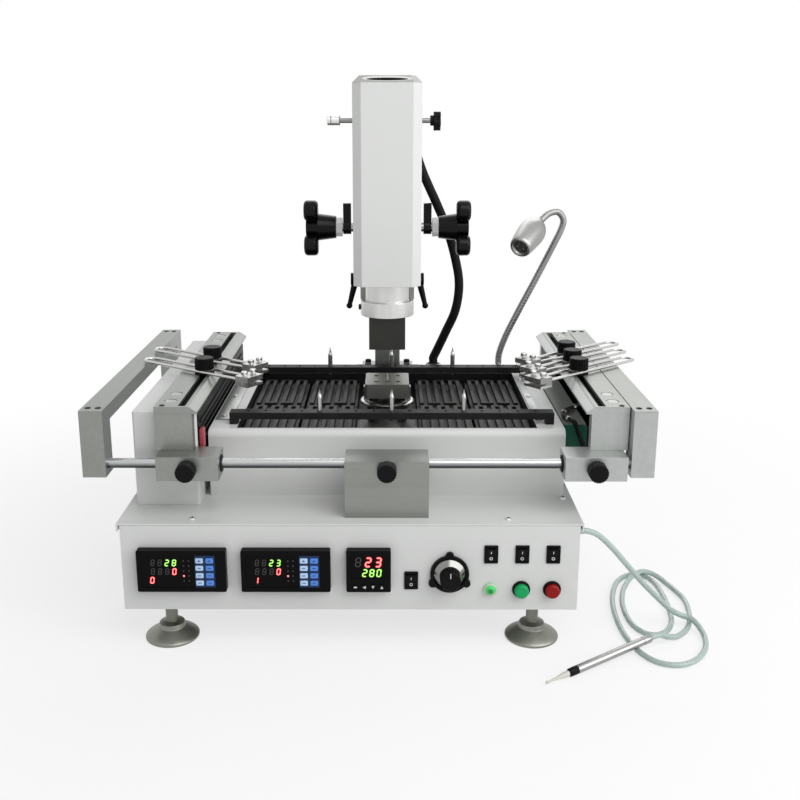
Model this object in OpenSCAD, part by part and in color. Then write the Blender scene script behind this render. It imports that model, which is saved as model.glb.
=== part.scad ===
// Bench rework station for ball-grid chips: a hot-air head on a rack lift stands over an
// infrared preheater, with a sliding board table, clamp fingers and a front control panel.
// Heights run from the bench upwards, depths run back from the front panel.

/* [Cabinet] */
// Width of the lower cabinet
cab_w = 494; // [480:1:520]
// Depth of the lower cabinet
cab_d = 474; // [464:1:500]
// Height of the lower cabinet with its lid
cab_h = 100; // [96:1:120]
// Sheet thickness of the cabinet and the covers
sheet_t = 2; // [1.5:0.5:3]
// How far the middle of the cabinet lies left of the nozzle axis
cab_shift = 39.5; // [36:0.5:43]
// Overhang of the lid at each side
lid_overhang = 4; // [3.5:0.5:6]
// Depth of the lid's turned-down side lips
lid_lip = 9; // [5:0.5:10]

/* [Feet] */
// Height of the levelling feet
foot_h = 48; // [36:1:60]
// Diameter of a foot's dish
dish_dia = 60; // [45:1:70]
// Diameter of a foot's threaded stud
foot_stud_dia = 13; // [10:1:16]
// Distance of the feet from the cabinet's sides
foot_inset_x = 44; // [36:1:60]
// Distance of the feet from the cabinet's front and back
foot_inset_y = 30; // [30:1:60]

/* [Control panel] */
// Height of the panel meters' bezels
meter_h = 48; // [44:1:52]
// Width of a temperature controller's bezel
controller_w = 96; // [92:1:100]
// Width of the infrared meter's bezel
infrared_w = 48; // [44:1:52]
// How far the meter bezels stand out of the panel
meter_out = 9; // [5:0.5:12]
// Depth of the meter cases behind the panel
meter_depth = 70; // [50:1:100]
// Height of the meters' middle above the cabinet's underside
meter_mid_z = 49; // [40:1:56]
// Middle of the upper heater's controller, from the cabinet's left side
controller_1_x = 66; // [60:1:70]
// Middle of the lower heater's controller, from the cabinet's left side
controller_2_x = 178; // [172:1:182]
// Middle of the infrared meter, from the cabinet's left side
infrared_x = 267; // [262:1:272]
// Middle of the panel lamp's rocker, from the cabinet's left side
panel_rocker_x = 313; // [310:1:318]
// Height of the panel lamp's rocker above the cabinet's underside
panel_rocker_z = 35; // [25:1:50]
// Middle of the airflow dial, from the cabinet's left side
dial_x = 354.5; // [352:0.5:358]
// Height of the airflow dial above the cabinet's underside
dial_z = 43; // [34:1:56]
// Outer diameter of the airflow dial's ring
dial_dia = 42; // [38:1:46]
// How far the airflow knob stands out of the panel
knob_out = 22; // [18:1:26]
// Middle column of the switches, from the cabinet's left side
switch_x = 432.5; // [430:0.5:436]
// Distance between the columns of switches
switch_pitch = 33.5; // [28:0.5:36]
// Height of the row of rockers above the cabinet's underside
rocker_row_z = 65.5; // [60:0.5:76]
// Height of the row of buttons above the cabinet's underside
button_row_z = 24.5; // [20:0.5:34]
// Width of a rocker's frame
rocker_w = 15; // [13:0.5:18]
// Height of a rocker's frame
rocker_h = 20.5; // [18:0.5:24]
// Diameter of a push button's cap
button_dia = 15.5; // [14:0.5:20]
// Diameter of the pilot lamp's lens
pilot_dia = 11; // [8:0.5:14]

/* [Preheater] */
// Width of the preheater's housing
heat_w = 405; // [395:1:412]
// Depth of the preheater's housing
heat_d = 304; // [300:1:330]
// Height of the preheater's housing
heat_h = 78; // [70:1:84]
// Distance of the housing from the front panel
heat_front = 85; // [80:1:92]
// Width of the heater bed
bed_w = 343; // [320:1:346]
// Strip of the housing behind the bed
bed_back = 41; // [38:1:60]
// Strip of the housing in front of the bed
bed_edge = 10; // [8:1:20]
// Depth of the heater bed
bed_depth = 26; // [24:1:40]
// Radius of the housing's upper front and rear edges
edge_round = 8; // [4:1:9]
// Thickness of the heater tiles' plates
tile_t = 14; // [10:1:18]
// Height of the heating ridges on the tiles
ridge_h = 4; // [2:0.5:5]
// Gap between heater tiles
tile_gap = 3; // [2:0.5:6]
// Width of the free bay in the bed for the lower nozzle
nozzle_bay = 72; // [70:1:80]

/* [Side cover] */
// Gap between the tall cover and the left end frame
cover_in = 23.5; // [22:0.5:34]
// Height of the tall cover
cover_h = 108; // [100:1:120]
// Gap between the tall cover and the preheater
cover_gap = 7; // [3:0.5:7]

/* [Board table] */
// Diameter of the guide rods
rod_dia = 11; // [9:0.5:13]
// Height of the guide rods above the cabinet
rod_rise = 55.5; // [50:0.5:64]
// Distance of the front guide rod from the front panel
rod_front = 38; // [34:1:40]
// Distance between the guide rods
rods_apart = 398; // [390:1:410]
// Width of the table over its end frames
table_w = 619; // [610:1:640]
// Width of an end frame
frame_w = 25.5; // [20:0.5:30]
// Height of an end frame's beam
beam_h = 17; // [12:1:24]
// How far the table stands left of the nozzle axis
table_shift = 20; // [10:1:30]
// Width of the centre blocks
block_w = 91; // [70:1:110]
// Height of the centre blocks
block_h = 64; // [64:1:76]
// Width of a jaw's slider
slider_w = 67; // [50:1:76]
// Height of a jaw's slider
slider_h = 27; // [22:1:34]
// Width of a jaw's top plate
jaw_w = 47; // [44:1:54]
// Thickness of a jaw's top plate
jaw_t = 8; // [8:0.5:12]
// Free way of the left jaw towards its end frame
left_jaw_gap = 51.5; // [40:0.5:60]
// Free way of the right jaw towards its end frame
right_jaw_gap = 1; // [0.5:0.5:20]
// Diameter of the table's lock knobs
lock_dia = 21; // [16:1:26]
// Length of the table's lock knobs
lock_len = 14; // [10:1:15]

/* [Clamp fingers] */
// Diameter of a finger's wire
wire_dia = 4; // [3:0.5:5]
// Distance between the two legs of a finger
finger_spread = 18; // [14:1:22]
// Length of a finger outside its stud
finger_out = 92; // [70:1:100]
// Length of a finger inside its stud
finger_in = 83; // [60:1:95]
// Angle of the left fingers towards the front
left_angle = 35; // [25:1:45]
// Angle of the right fingers towards the front
right_angle = 40; // [30:1:45]
// Distance of the first left finger from the front panel
left_finger_y = 190; // [170:1:210]
// Distance between the left fingers
left_finger_pitch = 59; // [50:1:80]
// Distance of the first right finger from the front panel
right_finger_y = 190; // [170:1:210]
// Distance between the right fingers
right_finger_pitch = 45; // [42:1:60]
// Diameter of a finger's knob
finger_knob_dia = 23; // [18:1:26]
// Length of a finger's knob
finger_knob_len = 14; // [10:1:18]

/* [Board supports] */
// Length of a support rail
rail_len = 374; // [364:1:380]
// Width of a support rail
rail_w = 16; // [12:1:20]
// Thickness of a support rail
rail_t = 8; // [6:0.5:10]
// Height of a support rail above the housing
rail_rise = 6; // [4:0.5:8]
// Distance of the front rail's middle from the housing's front
front_rail_in = 31; // [25:1:39]
// Distance of the rear rail's middle from the housing's rear
rear_rail_in = 57; // [53:1:65]
// How far the rails stand right of the nozzle axis
rail_shift = 5.5; // [0:0.5:6]
// Distance between the holes of a rail
rail_hole_pitch = 20.8; // [16:0.2:21]
// Diameter of a support pin's shank
pin_dia = 4; // [3:0.5:5]
// Length of a support pin above its rail
pin_len = 27; // [20:1:27]

/* [Lower nozzle] */
// Diameter of the lower air tube
air_tube_dia = 50; // [40:1:56]
// Diameter of the lower air tube's rim
air_rim_dia = 65; // [60:1:68]
// Width of the lower nozzle's hood
hood_w = 54; // [44:1:60]
// Depth of the lower nozzle's hood
hood_d = 58; // [48:1:62]
// Height of the lower nozzle's hood
hood_h = 18; // [12:1:22]

/* [Head] */
// Distance of the nozzle axis from the front panel
axis_y = 218; // [212:1:222]
// Width of the head's housing
head_w = 80; // [76:1:86]
// Depth of the head's housing
head_d = 84; // [78:1:84]
// Height of the head's housing
head_h = 233; // [220:1:250]
// Chamfer of the housing's upright edges
head_chamfer = 10; // [6:1:16]
// Height of the bevelled cap
cap_h = 8; // [5:1:14]
// Height of the nozzle's mouth above the jaws
nozzle_gap = 28; // [28:1:40]
// Width of the upper nozzle
nozzle_w = 44; // [36:1:46]
// Height of the upper nozzle
nozzle_h = 40; // [30:1:50]
// Wall of the upper nozzle
nozzle_wall = 2; // [1.5:0.5:3]
// Diameter of the head's collar
collar_dia = 53; // [52:1:64]
// Height of the head's collar
collar_h = 22; // [16:1:30]
// Diameter of the nozzle flange
flange_dia = 65; // [64:1:76]
// Height of the nozzle flange
flange_h = 18; // [14:1:24]
// Height of the cross screw below the top of the housing
cross_screw_drop = 42; // [30:1:60]

/* [Lift] */
// Width of the lift column
column_w = 34; // [28:1:38]
// Height of the lift column above the preheater
column_h = 334; // [320:1:380]
// Module of the rack and its pinion
gear_module = 1.25; // [1:0.25:1.25]
// Number of teeth on the pinion
pinion_teeth = 18; // [17:1:18]
// Diameter of the pinion shaft
shaft_dia = 12; // [8:1:14]
// Distance of the handles' inner hubs from the nozzle axis
handle_inner = 65; // [60:1:70]
// Reach of a handle's lobes from the shaft
handle_reach = 38; // [30:1:38]
// Length of the clamp levers
lever_len = 36; // [28:1:40]

/* [Work lamp] */
// Diameter of the lamp's flexible stem
stem_dia = 9; // [7:0.5:11]
// Diameter of the lamp's bullet head
bullet_dia = 36; // [30:1:40]
// Length of the lamp's bullet head
bullet_len = 68; // [56:1:70]

/* [Vacuum pen] */
// Diameter of the vacuum tube
tube_dia = 6.5; // [5:0.5:6.5]
// Diameter of the pen's barrel
barrel_dia = 9.5; // [8:0.5:9.5]

/* [Hidden] */
$fn = 48;

// Clearances
run_fit = 0.05;     // radial gap of a shaft that runs in its bore
slide_fit = 0.2;    // gap of a flat guide
loose = 0.3;        // gap between pieces that only pass each other
seam = 0.05;        // seam between pieces that are bolted together
past = 1;           // how far a cut runs past the face that it opens

// Reference planes; the origin lies under the middle of the machine's box
rear_out = 3;
panel_drawn_w = 494;
left_reach = table_w / 2 + table_shift;
slot_in = 29.5;
right_slot = table_w / 2 - frame_w - right_jaw_gap - slot_in - table_shift;
right_reach = right_slot + finger_out * cos(right_angle) + finger_spread / 2 + wire_dia / 2;
ax = (left_reach - right_reach) / 2;
fy = -(cab_d + rear_out - knob_out) / 2;
cab_x = ax - cab_shift - cab_w / 2;
deck_z = foot_h + cab_h;
heat_x = ax - heat_w / 2;
heat_y = fy + heat_front;
heat_top = deck_z + heat_h;
bed_z = heat_top - bed_depth;
bed_y = heat_y + bed_edge;
bed_d = heat_d - bed_edge - bed_back;
heat_back = heat_y + heat_d;
head_y = fy + axis_y;

// Board table
table_x = ax - table_shift;
rod_y = [fy + rod_front, fy + rod_front + rods_apart];
rod_z = deck_z + rod_rise;
table_y = (rod_y[0] + rod_y[1]) / 2;
cover_clear_y = 1;
cover_clear_z = 2;
slider_ahead = 20.5;
slider_behind = 17;
frame_ahead = 12;
frame_under = 12.5;
rod_seat = 18;
jaw_z = deck_z + cover_h + cover_clear_z;
jaw_top = jaw_z + jaw_t;
frame_in = table_w / 2 - frame_w;
bracket_t = 13;
bracket_w = 41;
slider_in = 4.5;
jaw_bevel = 9;
jaw_edge = 2;
slot_w = 8;
slot_end = 4;
tee_w = 13.2;
tee_h = 3;
tee_floor = 1;
lock_screw_dia = 6;
lock_gap = 1;
frame_bolt_dia = 5;
frame_bolt_pitch = 11;
frame_bolt_depth = 6;

// Fingers
washer_t = 1.4;
washer_dia = 24;
wire_z = jaw_top + loose / 2 + washer_t + loose / 2 + wire_dia / 2;
neck_dia = 7.6;
saddle_w = 16;
clip_l = 20;
clip_w = 26;
clip_up = 5;
clip_down = 7;
clip_slot = 3;

// Board supports
rail_z = heat_top + rail_rise;
rail_foot_l = 9;
pins_every = 4;
pin_below = 4;
pin_body_dia = 6;
pin_tip = 12;

// Lower nozzle
air_rim_t = 4;
neck_h = 8;
hood_neck_dia = 30;
hood_wall = 2;

// Head and lift
nozzle_z = jaw_top + nozzle_gap;
flange_z = nozzle_z + nozzle_h + slide_fit;
collar_z = flange_z + flange_h;
head_z = collar_z + collar_h;
head_top = head_z + head_h;
head_back = head_y + head_d / 2;
heater_dia = 50;
heater_len = 120;
spigot_dia = 36;
spigot_h = 12;
cross_screw_dia = 6;
rail_neck_w = 20;
rail_head_w = 28;
rail_neck_d = 5;
rail_head_d = 10.2;
rail_low = 11;
rail_high = 226;
rack_w = 16;
pitch_r = gear_module * pinion_teeth / 2;
backlash = 0.3;
addendum = gear_module;
dedendum = 1.25 * gear_module;
rack_root_y = head_back + rail_neck_d + rail_head_d;
rack_pitch_y = rack_root_y + dedendum;
pinion_y = rack_pitch_y + pitch_r + backlash / 2;
pinion_up = 59;
arm_down = 29;
arm_up = 101;
pinion_z = head_z + pinion_up;
arm_low = head_z - arm_down;
arm_high = head_z + arm_up;
arm_front_w = 68;
arm_front_gap = 1;
arm_mid_w = 44;
arm_clamp_w = 56;
arm_clamp_wall = 7;
pinion_pocket = 14;
arm_cheek_d = 12;
column_in = 20.5;
column_y = heat_back - column_in;
column_base_w = 70;
column_base_d = 38;
column_base_t = 8;
lever_shaft_dia = 10;
lever_z = head_z - 9;
lever_y = pinion_y + 8;
lever_boss = 13;

// Hose, lamp and vacuum tube
hose_dia = 12;
gland_dia = 20;
gland_h = 9.5;
gland_in = 23;
gland_y = heat_back - gland_in - head_y;
hose_route = [
    [24, 42.6, 356], [24, 50, 356], [24, 60, 356], [26, 86, 345], [31, 111, 320], [45, 120, 276],
    [65, 120, 232], [79, 120, 199], [90, 119, 162], [96, 119, 126], [92, 123, 90], [80, 133, 58],
    [69, gland_y - 4, 30], [64, gland_y, 18], [64, gland_y, 14], [64, gland_y, 10]
];
lamp_base_dia = 26;
lamp_base_h = 9;
lamp_in = 21;
lamp_y = heat_back - lamp_in - head_y;
lamp_route = [
    [155, lamp_y, 9], [156, lamp_y, 24], [165, lamp_y, 50], [183, lamp_y, 88], [203, lamp_y, 128],
    [226, lamp_y, 176], [235, lamp_y, 196], [237, lamp_y - 1, 209], [229, lamp_y - 3, 219],
    [216, lamp_y - 7, 217], [204, lamp_y - 12, 207]
];
bullet_tilt = 115;
bullet_yaw = 238;
grommet_dia = 12;
grommet_out = 3;
tube_exit_y = 20;
tube_exit_z = deck_z - 16;
tube_low = 3.3;
// Points of the tube; one without a height lies on the bench
tube_points = [
    [grommet_out + seam, 20, tube_exit_z], [7, 20, tube_exit_z], [11, 20, tube_exit_z], [24, 23, 126],
    [42, 28, 108], [60, 34, 86], [80, 40, 62], [100, 46, 40], [118, 51, 22], [132, 54, 13],
    [143, 50, 10.5], [149, 36, 6], [149, 16], [142, -6], [129, -25], [112, -37], [94, -38], [79, -29],
    [69, -12], [63, 10], [60, 36], [60, 66], [63, 98], [70, 130], [82, 160], [98, 178], [114, 180],
    [125, 166], [129, 142], [129, 113], [127, 84], [122, 57], [112, 36], [98, 26], [85, 30], [76, 46],
    [73, 70], [75, 100], [82, 130], [92, 154, 4], [103, 168, 8], [117, 175, 10.5], [131, 170, 8],
    [142, 154, 4], [148, 135], [152, 112], [150, 86], [144, 60], [134, 38], [120, 22, 4],
    [107, 14, 7.5], [96, 9, 12.6], [87.4, 4, 13.3], [84, 2, 13]
];
tube_route = [for (p = tube_points) len(p) == 2 ? [p[0], p[1], tube_low] : p];
tube_rings = 80;
pen_tip = [-42, -73, 3];

// Colours
white = [0.86, 0.86, 0.85];
bare = [0.66, 0.67, 0.65];
steel = [0.78, 0.78, 0.78];
black = [0.07, 0.07, 0.07];
dark = [0.2, 0.21, 0.21];

// Rectangle about the middle with round corners
module round_rect(w, d, r) {
    square([w - 2 * r, d], center = true);
    square([w, d - 2 * r], center = true);
    for (sx = [-1, 1], sy = [-1, 1])
        translate([sx * (w / 2 - r), sy * (d / 2 - r)])
            circle(r);
}

// Square about the middle with its corners cut at 45 degrees
module cut_square(w, d, c) {
    polygon([
        [w / 2 - c, -d / 2], [w / 2, c - d / 2], [w / 2, d / 2 - c], [w / 2 - c, d / 2],
        [c - w / 2, d / 2], [-w / 2, d / 2 - c], [-w / 2, c - d / 2], [c - w / 2, -d / 2]
    ]);
}

// Knob with fluted sides and a chamfered outer end, standing on its inner face
module fluted_knob(dia, len, flutes, flute_dia) {
    chamfer = 1;
    intersection() {
        linear_extrude(len)
            difference() {
                circle(d = dia);
                for (i = [0 : flutes - 1])
                    rotate(i * 360 / flutes)
                        translate([dia / 2, 0])
                            circle(d = flute_dia, $fn = 16);
            }
        rotate_extrude()
            polygon([
                [0, 0], [dia / 2, 0], [dia / 2, len - chamfer], [dia / 2 - chamfer, len], [0, len]
            ]);
    }
}

// Places children on the front panel, their Z axis towards the user; x spreads with the panel
module on_panel(x, z) {
    translate([cab_x + x * cab_w / panel_drawn_w, fy, foot_h + z])
        rotate([90, 0, 0])
            children();
}

// Point on a smooth curve through the points at place t, counted in points
function curve_at(points, t) =
    let (
        last = len(points) - 1,
        i = min(floor(t), last - 1),
        u = t - i,
        p0 = points[max(i - 1, 0)],
        p1 = points[i],
        p2 = points[i + 1],
        p3 = points[min(i + 2, last)]
    )
    0.5 * (2 * p1 + (p2 - p0) * u + (2 * p0 - 5 * p1 + 4 * p2 - p3) * u * u
        + (3 * p1 - p0 - 3 * p2 + p3) * u * u * u);

function resample(points, rings) =
    [for (k = [0 : rings - 1]) curve_at(points, k * (len(points) - 1) / (rings - 1))];

function unit(v) = v / norm(v);

function heading(path, k) =
    unit(path[min(k + 1, len(path) - 1)] - path[max(k - 1, 0)]);

// Round tube along a path; side is a direction that the path never runs along
module tube_along(path, dia, sides, side) {
    rings = len(path);
    points = [
        for (k = [0 : rings - 1])
            let (
                t = heading(path, k),
                a = unit(cross(t, side)),
                b = cross(t, a)
            )
            for (j = [0 : sides - 1])
                path[k] + dia / 2 * (cos(j * 360 / sides) * a + sin(j * 360 / sides) * b)
    ];
    walls = [
        for (k = [0 : rings - 2], j = [0 : sides - 1])
            let (n = (j + 1) % sides)
            [k * sides + j, (k + 1) * sides + j, (k + 1) * sides + n, k * sides + n]
    ];
    start = [for (j = [0 : sides - 1]) j];
    end = [for (j = [0 : sides - 1]) rings * sides - 1 - j];
    polyhedron(points, concat(walls, [start], [end]), convexity = 10);
}

// Cabinet

meter_cut = 3;
meter_fit = meter_cut + loose;
rocker_frame = 1.8;
collar_wall = 1.2;
vent_count = 9;
vent_l = 36;
vent_w = 4;
vent_pitch = 9;
inlet_w = 48;
inlet_h = 28;
inlet_hole_w = 27;
inlet_hole_h = 20;
inlet_x = 70;
inlet_z = 40;

module cabinet() {
    color(white)
        difference() {
            translate([cab_x, fy, foot_h])
                cube([cab_w, cab_d, cab_h - sheet_t - seam]);
            translate([cab_x + sheet_t, fy + sheet_t, foot_h + sheet_t])
                cube([cab_w - 2 * sheet_t, cab_d - 2 * sheet_t, cab_h]);
            panel_cuts();
            rear_cuts();
            translate([cab_x + cab_w, fy + tube_exit_y, tube_exit_z])
                rotate([0, 90, 0])
                    cylinder(d = grommet_dia - 3, h = 4 * sheet_t, center = true);
            foot_places()
                cylinder(d = foot_stud_dia + 2 * run_fit, h = 4 * sheet_t, center = true);
        }
}

module panel_cuts() {
    cut = 4 * sheet_t;
    for (m = [[controller_1_x, controller_w], [controller_2_x, controller_w], [infrared_x, infrared_w]])
        on_panel(m[0], meter_mid_z)
            cube([m[1] - meter_cut, meter_h - meter_cut, cut], center = true);
    rocker_places()
        cube([rocker_w - rocker_frame, rocker_h - rocker_frame, cut], center = true);
    for (x = [switch_x, switch_x + switch_pitch])
        on_panel(x, button_row_z)
            cylinder(d = button_dia + 2 * collar_wall + loose, h = cut, center = true);
    on_panel(switch_x - switch_pitch, button_row_z)
        cylinder(d = pilot_dia, h = cut, center = true);
    on_panel(dial_x, dial_z)
        cylinder(d = dial_shaft_dia + 2 * run_fit, h = cut, center = true);
}

module rear_cuts() {
    translate([cab_x + inlet_x, fy + cab_d, foot_h + inlet_z])
        cube([inlet_hole_w + loose, 4 * sheet_t, inlet_hole_h + loose], center = true);
    for (i = [0 : vent_count - 1])
        translate([cab_x + cab_w - inlet_x - i * vent_pitch, fy + cab_d, foot_h + cab_h / 2])
            cube([vent_w, 4 * sheet_t, vent_l], center = true);
}

module cabinet_lid() {
    w = cab_w + 2 * lid_overhang;
    color(white)
        difference() {
            translate([cab_x - lid_overhang, fy, deck_z - lid_lip])
                cube([w, cab_d, lid_lip]);
            translate([cab_x - lid_overhang + sheet_t, fy - past, deck_z - lid_lip - past])
                cube([w - 2 * sheet_t, cab_d + 2 * past, lid_lip + past - sheet_t]);
            translate([ax, head_y, deck_z])
                cylinder(d = air_tube_dia + 2 * loose, h = 4 * sheet_t, center = true);
        }
}

module foot_places() {
    for (x = [cab_x + foot_inset_x, cab_x + cab_w - foot_inset_x])
        for (y = [fy + foot_inset_y, fy + cab_d - foot_inset_y])
            translate([x, y, foot_h])
                children();
}

// Dish, ball neck, lock nut and stud of each foot
module levelling_feet() {
    rim = 3;
    neck = 13;
    nut_h = 9;
    nut_dia = 2 * foot_stud_dia;
    color(steel)
        foot_places()
            translate([0, 0, -foot_h]) {
                rotate_extrude()
                    polygon([
                        [0, 0], [dish_dia / 2 - 1, 0], [dish_dia / 2, 1], [dish_dia / 2, rim],
                        [dish_dia / 2 - 2, rim + 2], [foot_stud_dia + 2, neck],
                        [foot_stud_dia + 1, neck + 5], [foot_stud_dia / 2, neck + 7],
                        [foot_stud_dia / 2, foot_h + sheet_t + 12], [0, foot_h + sheet_t + 12]
                    ]);
                translate([0, 0, foot_h - nut_h - seam])
                    cylinder(d = nut_dia, h = nut_h, $fn = 6);
            }
}

module mains_inlet() {
    recess = 13;
    color(black)
        translate([cab_x + inlet_x, fy + cab_d, foot_h + inlet_z])
            rotate([-90, 0, 0])
                difference() {
                    union() {
                        linear_extrude(rear_out)
                            round_rect(inlet_w, inlet_h, 4);
                        translate([0, 0, -recess])
                            cube([inlet_hole_w, inlet_hole_h, 2 * recess], center = true);
                    }
                    translate([0, 0, rear_out - recess])
                        linear_extrude(recess + past)
                            round_rect(inlet_hole_w - 4, inlet_hole_h - 4, 2);
                }
}

// Blower under the lower air tube and the pump of the vacuum pen, both on the cabinet's floor
blower_h = 55;
module blower_and_pump() {
    floor_z = foot_h + sheet_t;
    blower_dia = 110;
    outlet_w = 40;
    pump_dia = 38;
    pump_l = 70;
    pump_block = 44;
    pump_side = 90;
    pump_front = 150;
    color(dark) {
        translate([ax, head_y, floor_z]) {
            cylinder(d = blower_dia, h = blower_h);
            translate([0, blower_dia / 2 - outlet_w, 0])
                cube([blower_dia * 0.75, outlet_w, blower_h]);
        }
        translate([cab_x + cab_w - pump_side, fy + pump_front, floor_z]) {
            translate([-pump_block / 2, 0, 0])
                cube([pump_block, pump_block, pump_block]);
            translate([0, pump_block - past, pump_block / 2])
                rotate([-90, 0, 0])
                    cylinder(d = pump_dia, h = pump_l);
        }
    }
}

// Front panel

key_cols = 2;
key_rows = 4;
key_pitch_x = 11;
key_pitch_z = 8.6;
key_w = 9;
key_h = 6.6;
key_t = 0.8;
key_in = 17.3;
window_d = 1;

// Bezel, case and sunk display window of a panel meter
module meter_case(w, window_w, window_h, window_x, window_z) {
    difference() {
        union() {
            linear_extrude(meter_out)
                round_rect(w, meter_h, 2);
            translate([0, 0, -meter_depth / 2])
                cube([w - meter_fit, meter_h - meter_fit, meter_depth + past], center = true);
        }
        translate([window_x, window_z, meter_out - window_d])
            linear_extrude(window_d + past)
                round_rect(window_w, window_h, 1);
    }
}

module controller_keys() {
    for (c = [0 : key_cols - 1], r = [0 : key_rows - 1])
        translate([
            controller_w / 2 - key_in - c * key_pitch_x, (r - (key_rows - 1) / 2) * key_pitch_z, meter_out
        ])
            linear_extrude(key_t)
                round_rect(key_w, key_h, 1);
}

// Two temperature controllers and the infrared meter
module panel_meters() {
    window_w = 58;
    window_h = 38;
    arrow_keys = 4;
    arrow_pitch = 9.5;
    arrow_dia = 7;
    color(black) {
        for (x = [controller_1_x, controller_2_x])
            on_panel(x, meter_mid_z) {
                meter_case(controller_w, window_w, window_h, window_w / 2 + 5 - controller_w / 2, 0);
                controller_keys();
            }
        on_panel(infrared_x, meter_mid_z) {
            meter_case(infrared_w, infrared_w - 10, 26, 0, 5);
            for (i = [0 : arrow_keys - 1])
                translate([(i - (arrow_keys - 1) / 2) * arrow_pitch, 6 - meter_h / 2, meter_out])
                    cylinder(d = arrow_dia, h = key_t);
        }
    }
}

rocker_wall = 1;
rocker_skirt = 11;
rocker_gap_x = 0.3;
rocker_gap_z = 0.8;
rocker_tilt = 8;
rocker_pivot = 3;
rocker_pin_dia = 1.8;

module rocker_places() {
    on_panel(panel_rocker_x, panel_rocker_z)
        children();
    for (i = [-1 : 1])
        on_panel(switch_x + i * switch_pitch, rocker_row_z)
            children();
}

// Frames of the rockers, collars of the buttons, the dial's eared ring and the tube's grommet
module panel_bezels() {
    ear_dia = 9;
    ring_t = 4;
    flange = 1.5;
    color(black) {
        translate([cab_x + cab_w, fy + tube_exit_y, tube_exit_z])
            rotate([0, 90, 0]) {
                cylinder(d = grommet_dia, h = grommet_out);
                translate([0, 0, -3 * sheet_t])
                    cylinder(d = grommet_dia - 3 - 2 * run_fit, h = 3 * sheet_t + past);
            }
        rocker_places()
            difference() {
                union() {
                    linear_extrude(flange)
                        round_rect(rocker_w, rocker_h, 1);
                    translate([0, 0, -rocker_skirt / 2])
                        cube([
                            rocker_w - rocker_frame - loose, rocker_h - rocker_frame - loose, rocker_skirt
                        ], center = true);
                }
                translate([0, 0, -rocker_skirt + rocker_wall])
                    linear_extrude(2 * rocker_skirt)
                        square([rocker_in_w(), rocker_in_h()], center = true);
                rocker_pin(rocker_pin_dia + 2 * run_fit, rocker_w);
            }
        for (x = [switch_x, switch_x + switch_pitch])
            on_panel(x, button_row_z)
                difference() {
                    union() {
                        cylinder(d = button_dia + 4, h = flange);
                        translate([0, 0, -button_barrel])
                            cylinder(d = button_dia + 2 * collar_wall, h = button_barrel);
                    }
                    translate([0, 0, -button_barrel - past])
                        cylinder(d = button_dia + 2 * slide_fit, h = button_barrel + flange + 2 * past);
                }
        on_panel(dial_x, dial_z)
            difference() {
                union() {
                    cylinder(d = dial_dia, h = ring_t);
                    for (a = [90, 210, 330])
                        rotate(a)
                            translate([dial_dia / 2, 0, 0])
                                cylinder(d = ear_dia, h = ring_t);
                }
                translate([0, 0, -past])
                    cylinder(d = dial_dia - dial_ring, h = ring_t + 2 * past);
            }
    }
}

function rocker_in_w() = rocker_w - rocker_frame - loose - 2 * rocker_wall;
function rocker_in_h() = rocker_h - rocker_frame - loose - 2 * rocker_wall;

// Pivot of a rocker, across the middle of its frame
module rocker_pin(dia, length) {
    translate([0, 0, -rocker_pivot])
        rotate([0, 90, 0])
            cylinder(d = dia, h = length, center = true, $fn = 24);
}

// Rocker with two slanted halves, tilted to its lower half about its middle
module rocker(x, z) {
    half = rocker_in_h() / 2 - rocker_gap_z;
    crown = 1;
    rise = half * tan(rocker_tilt);
    back = 6;
    color(black)
        on_panel(x, z) {
            rocker_pin(rocker_pin_dia, rocker_in_w() + 2 * rocker_wall - slide_fit);
            translate([-rocker_in_w() / 2 + rocker_gap_x, 0, -rocker_pivot])
                rotate([rocker_tilt, 0, 0])
                    rotate([90, 0, 90])
                        linear_extrude(rocker_in_w() - 2 * rocker_gap_x)
                            polygon([
                                [-half, crown + rocker_pivot + rise], [0, crown + rocker_pivot],
                                [half, crown + rocker_pivot + rise],
                                [half, 0], [2, -back], [-2, -back], [-half, 0]
                            ]);
        }
}

module rocker_panel() {
    rocker(panel_rocker_x, panel_rocker_z);
}

module rocker_vacuum() {
    rocker(switch_x - switch_pitch, rocker_row_z);
}

module rocker_cooling() {
    rocker(switch_x, rocker_row_z);
}

module rocker_light() {
    rocker(switch_x + switch_pitch, rocker_row_z);
}

dial_shaft_dia = 8;
dial_ring = 6;
skirt_h = 8;
skirt_z = 1;

// Bright conical skirt of the airflow knob with its shaft
module airflow_skirt() {
    shaft_in = 12;
    r = (dial_dia - dial_ring) / 2 - loose;
    color(steel)
        on_panel(dial_x, dial_z)
            rotate_extrude()
                polygon([
                    [0, -shaft_in], [dial_shaft_dia / 2, -shaft_in], [dial_shaft_dia / 2, skirt_z],
                    [r, skirt_z], [r, skirt_z + 2], [r * 0.68, skirt_z + skirt_h], [0, skirt_z + skirt_h]
                ]);
}

module airflow_knob() {
    dia = (dial_dia - dial_ring) * 0.62;
    color(black)
        on_panel(dial_x, dial_z)
            translate([0, 0, skirt_z + skirt_h + seam])
                fluted_knob(dia, knob_out - skirt_z - skirt_h - seam, 18, 1.6);
}

module pilot_lamp() {
    rim = 1.5;
    behind = 14;
    color([0.25, 0.8, 0.35, 0.9])
        on_panel(switch_x - switch_pitch, button_row_z) {
            translate([0, 0, -behind])
                cylinder(d = pilot_dia - 2 * run_fit, h = behind);
            cylinder(d = pilot_dia + 3, h = rim);
            translate([0, 0, rim])
                intersection() {
                    sphere(d = pilot_dia);
                    cylinder(d = pilot_dia, h = pilot_dia);
                }
        }
}

button_barrel = 16;
button_out = 9;

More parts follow.
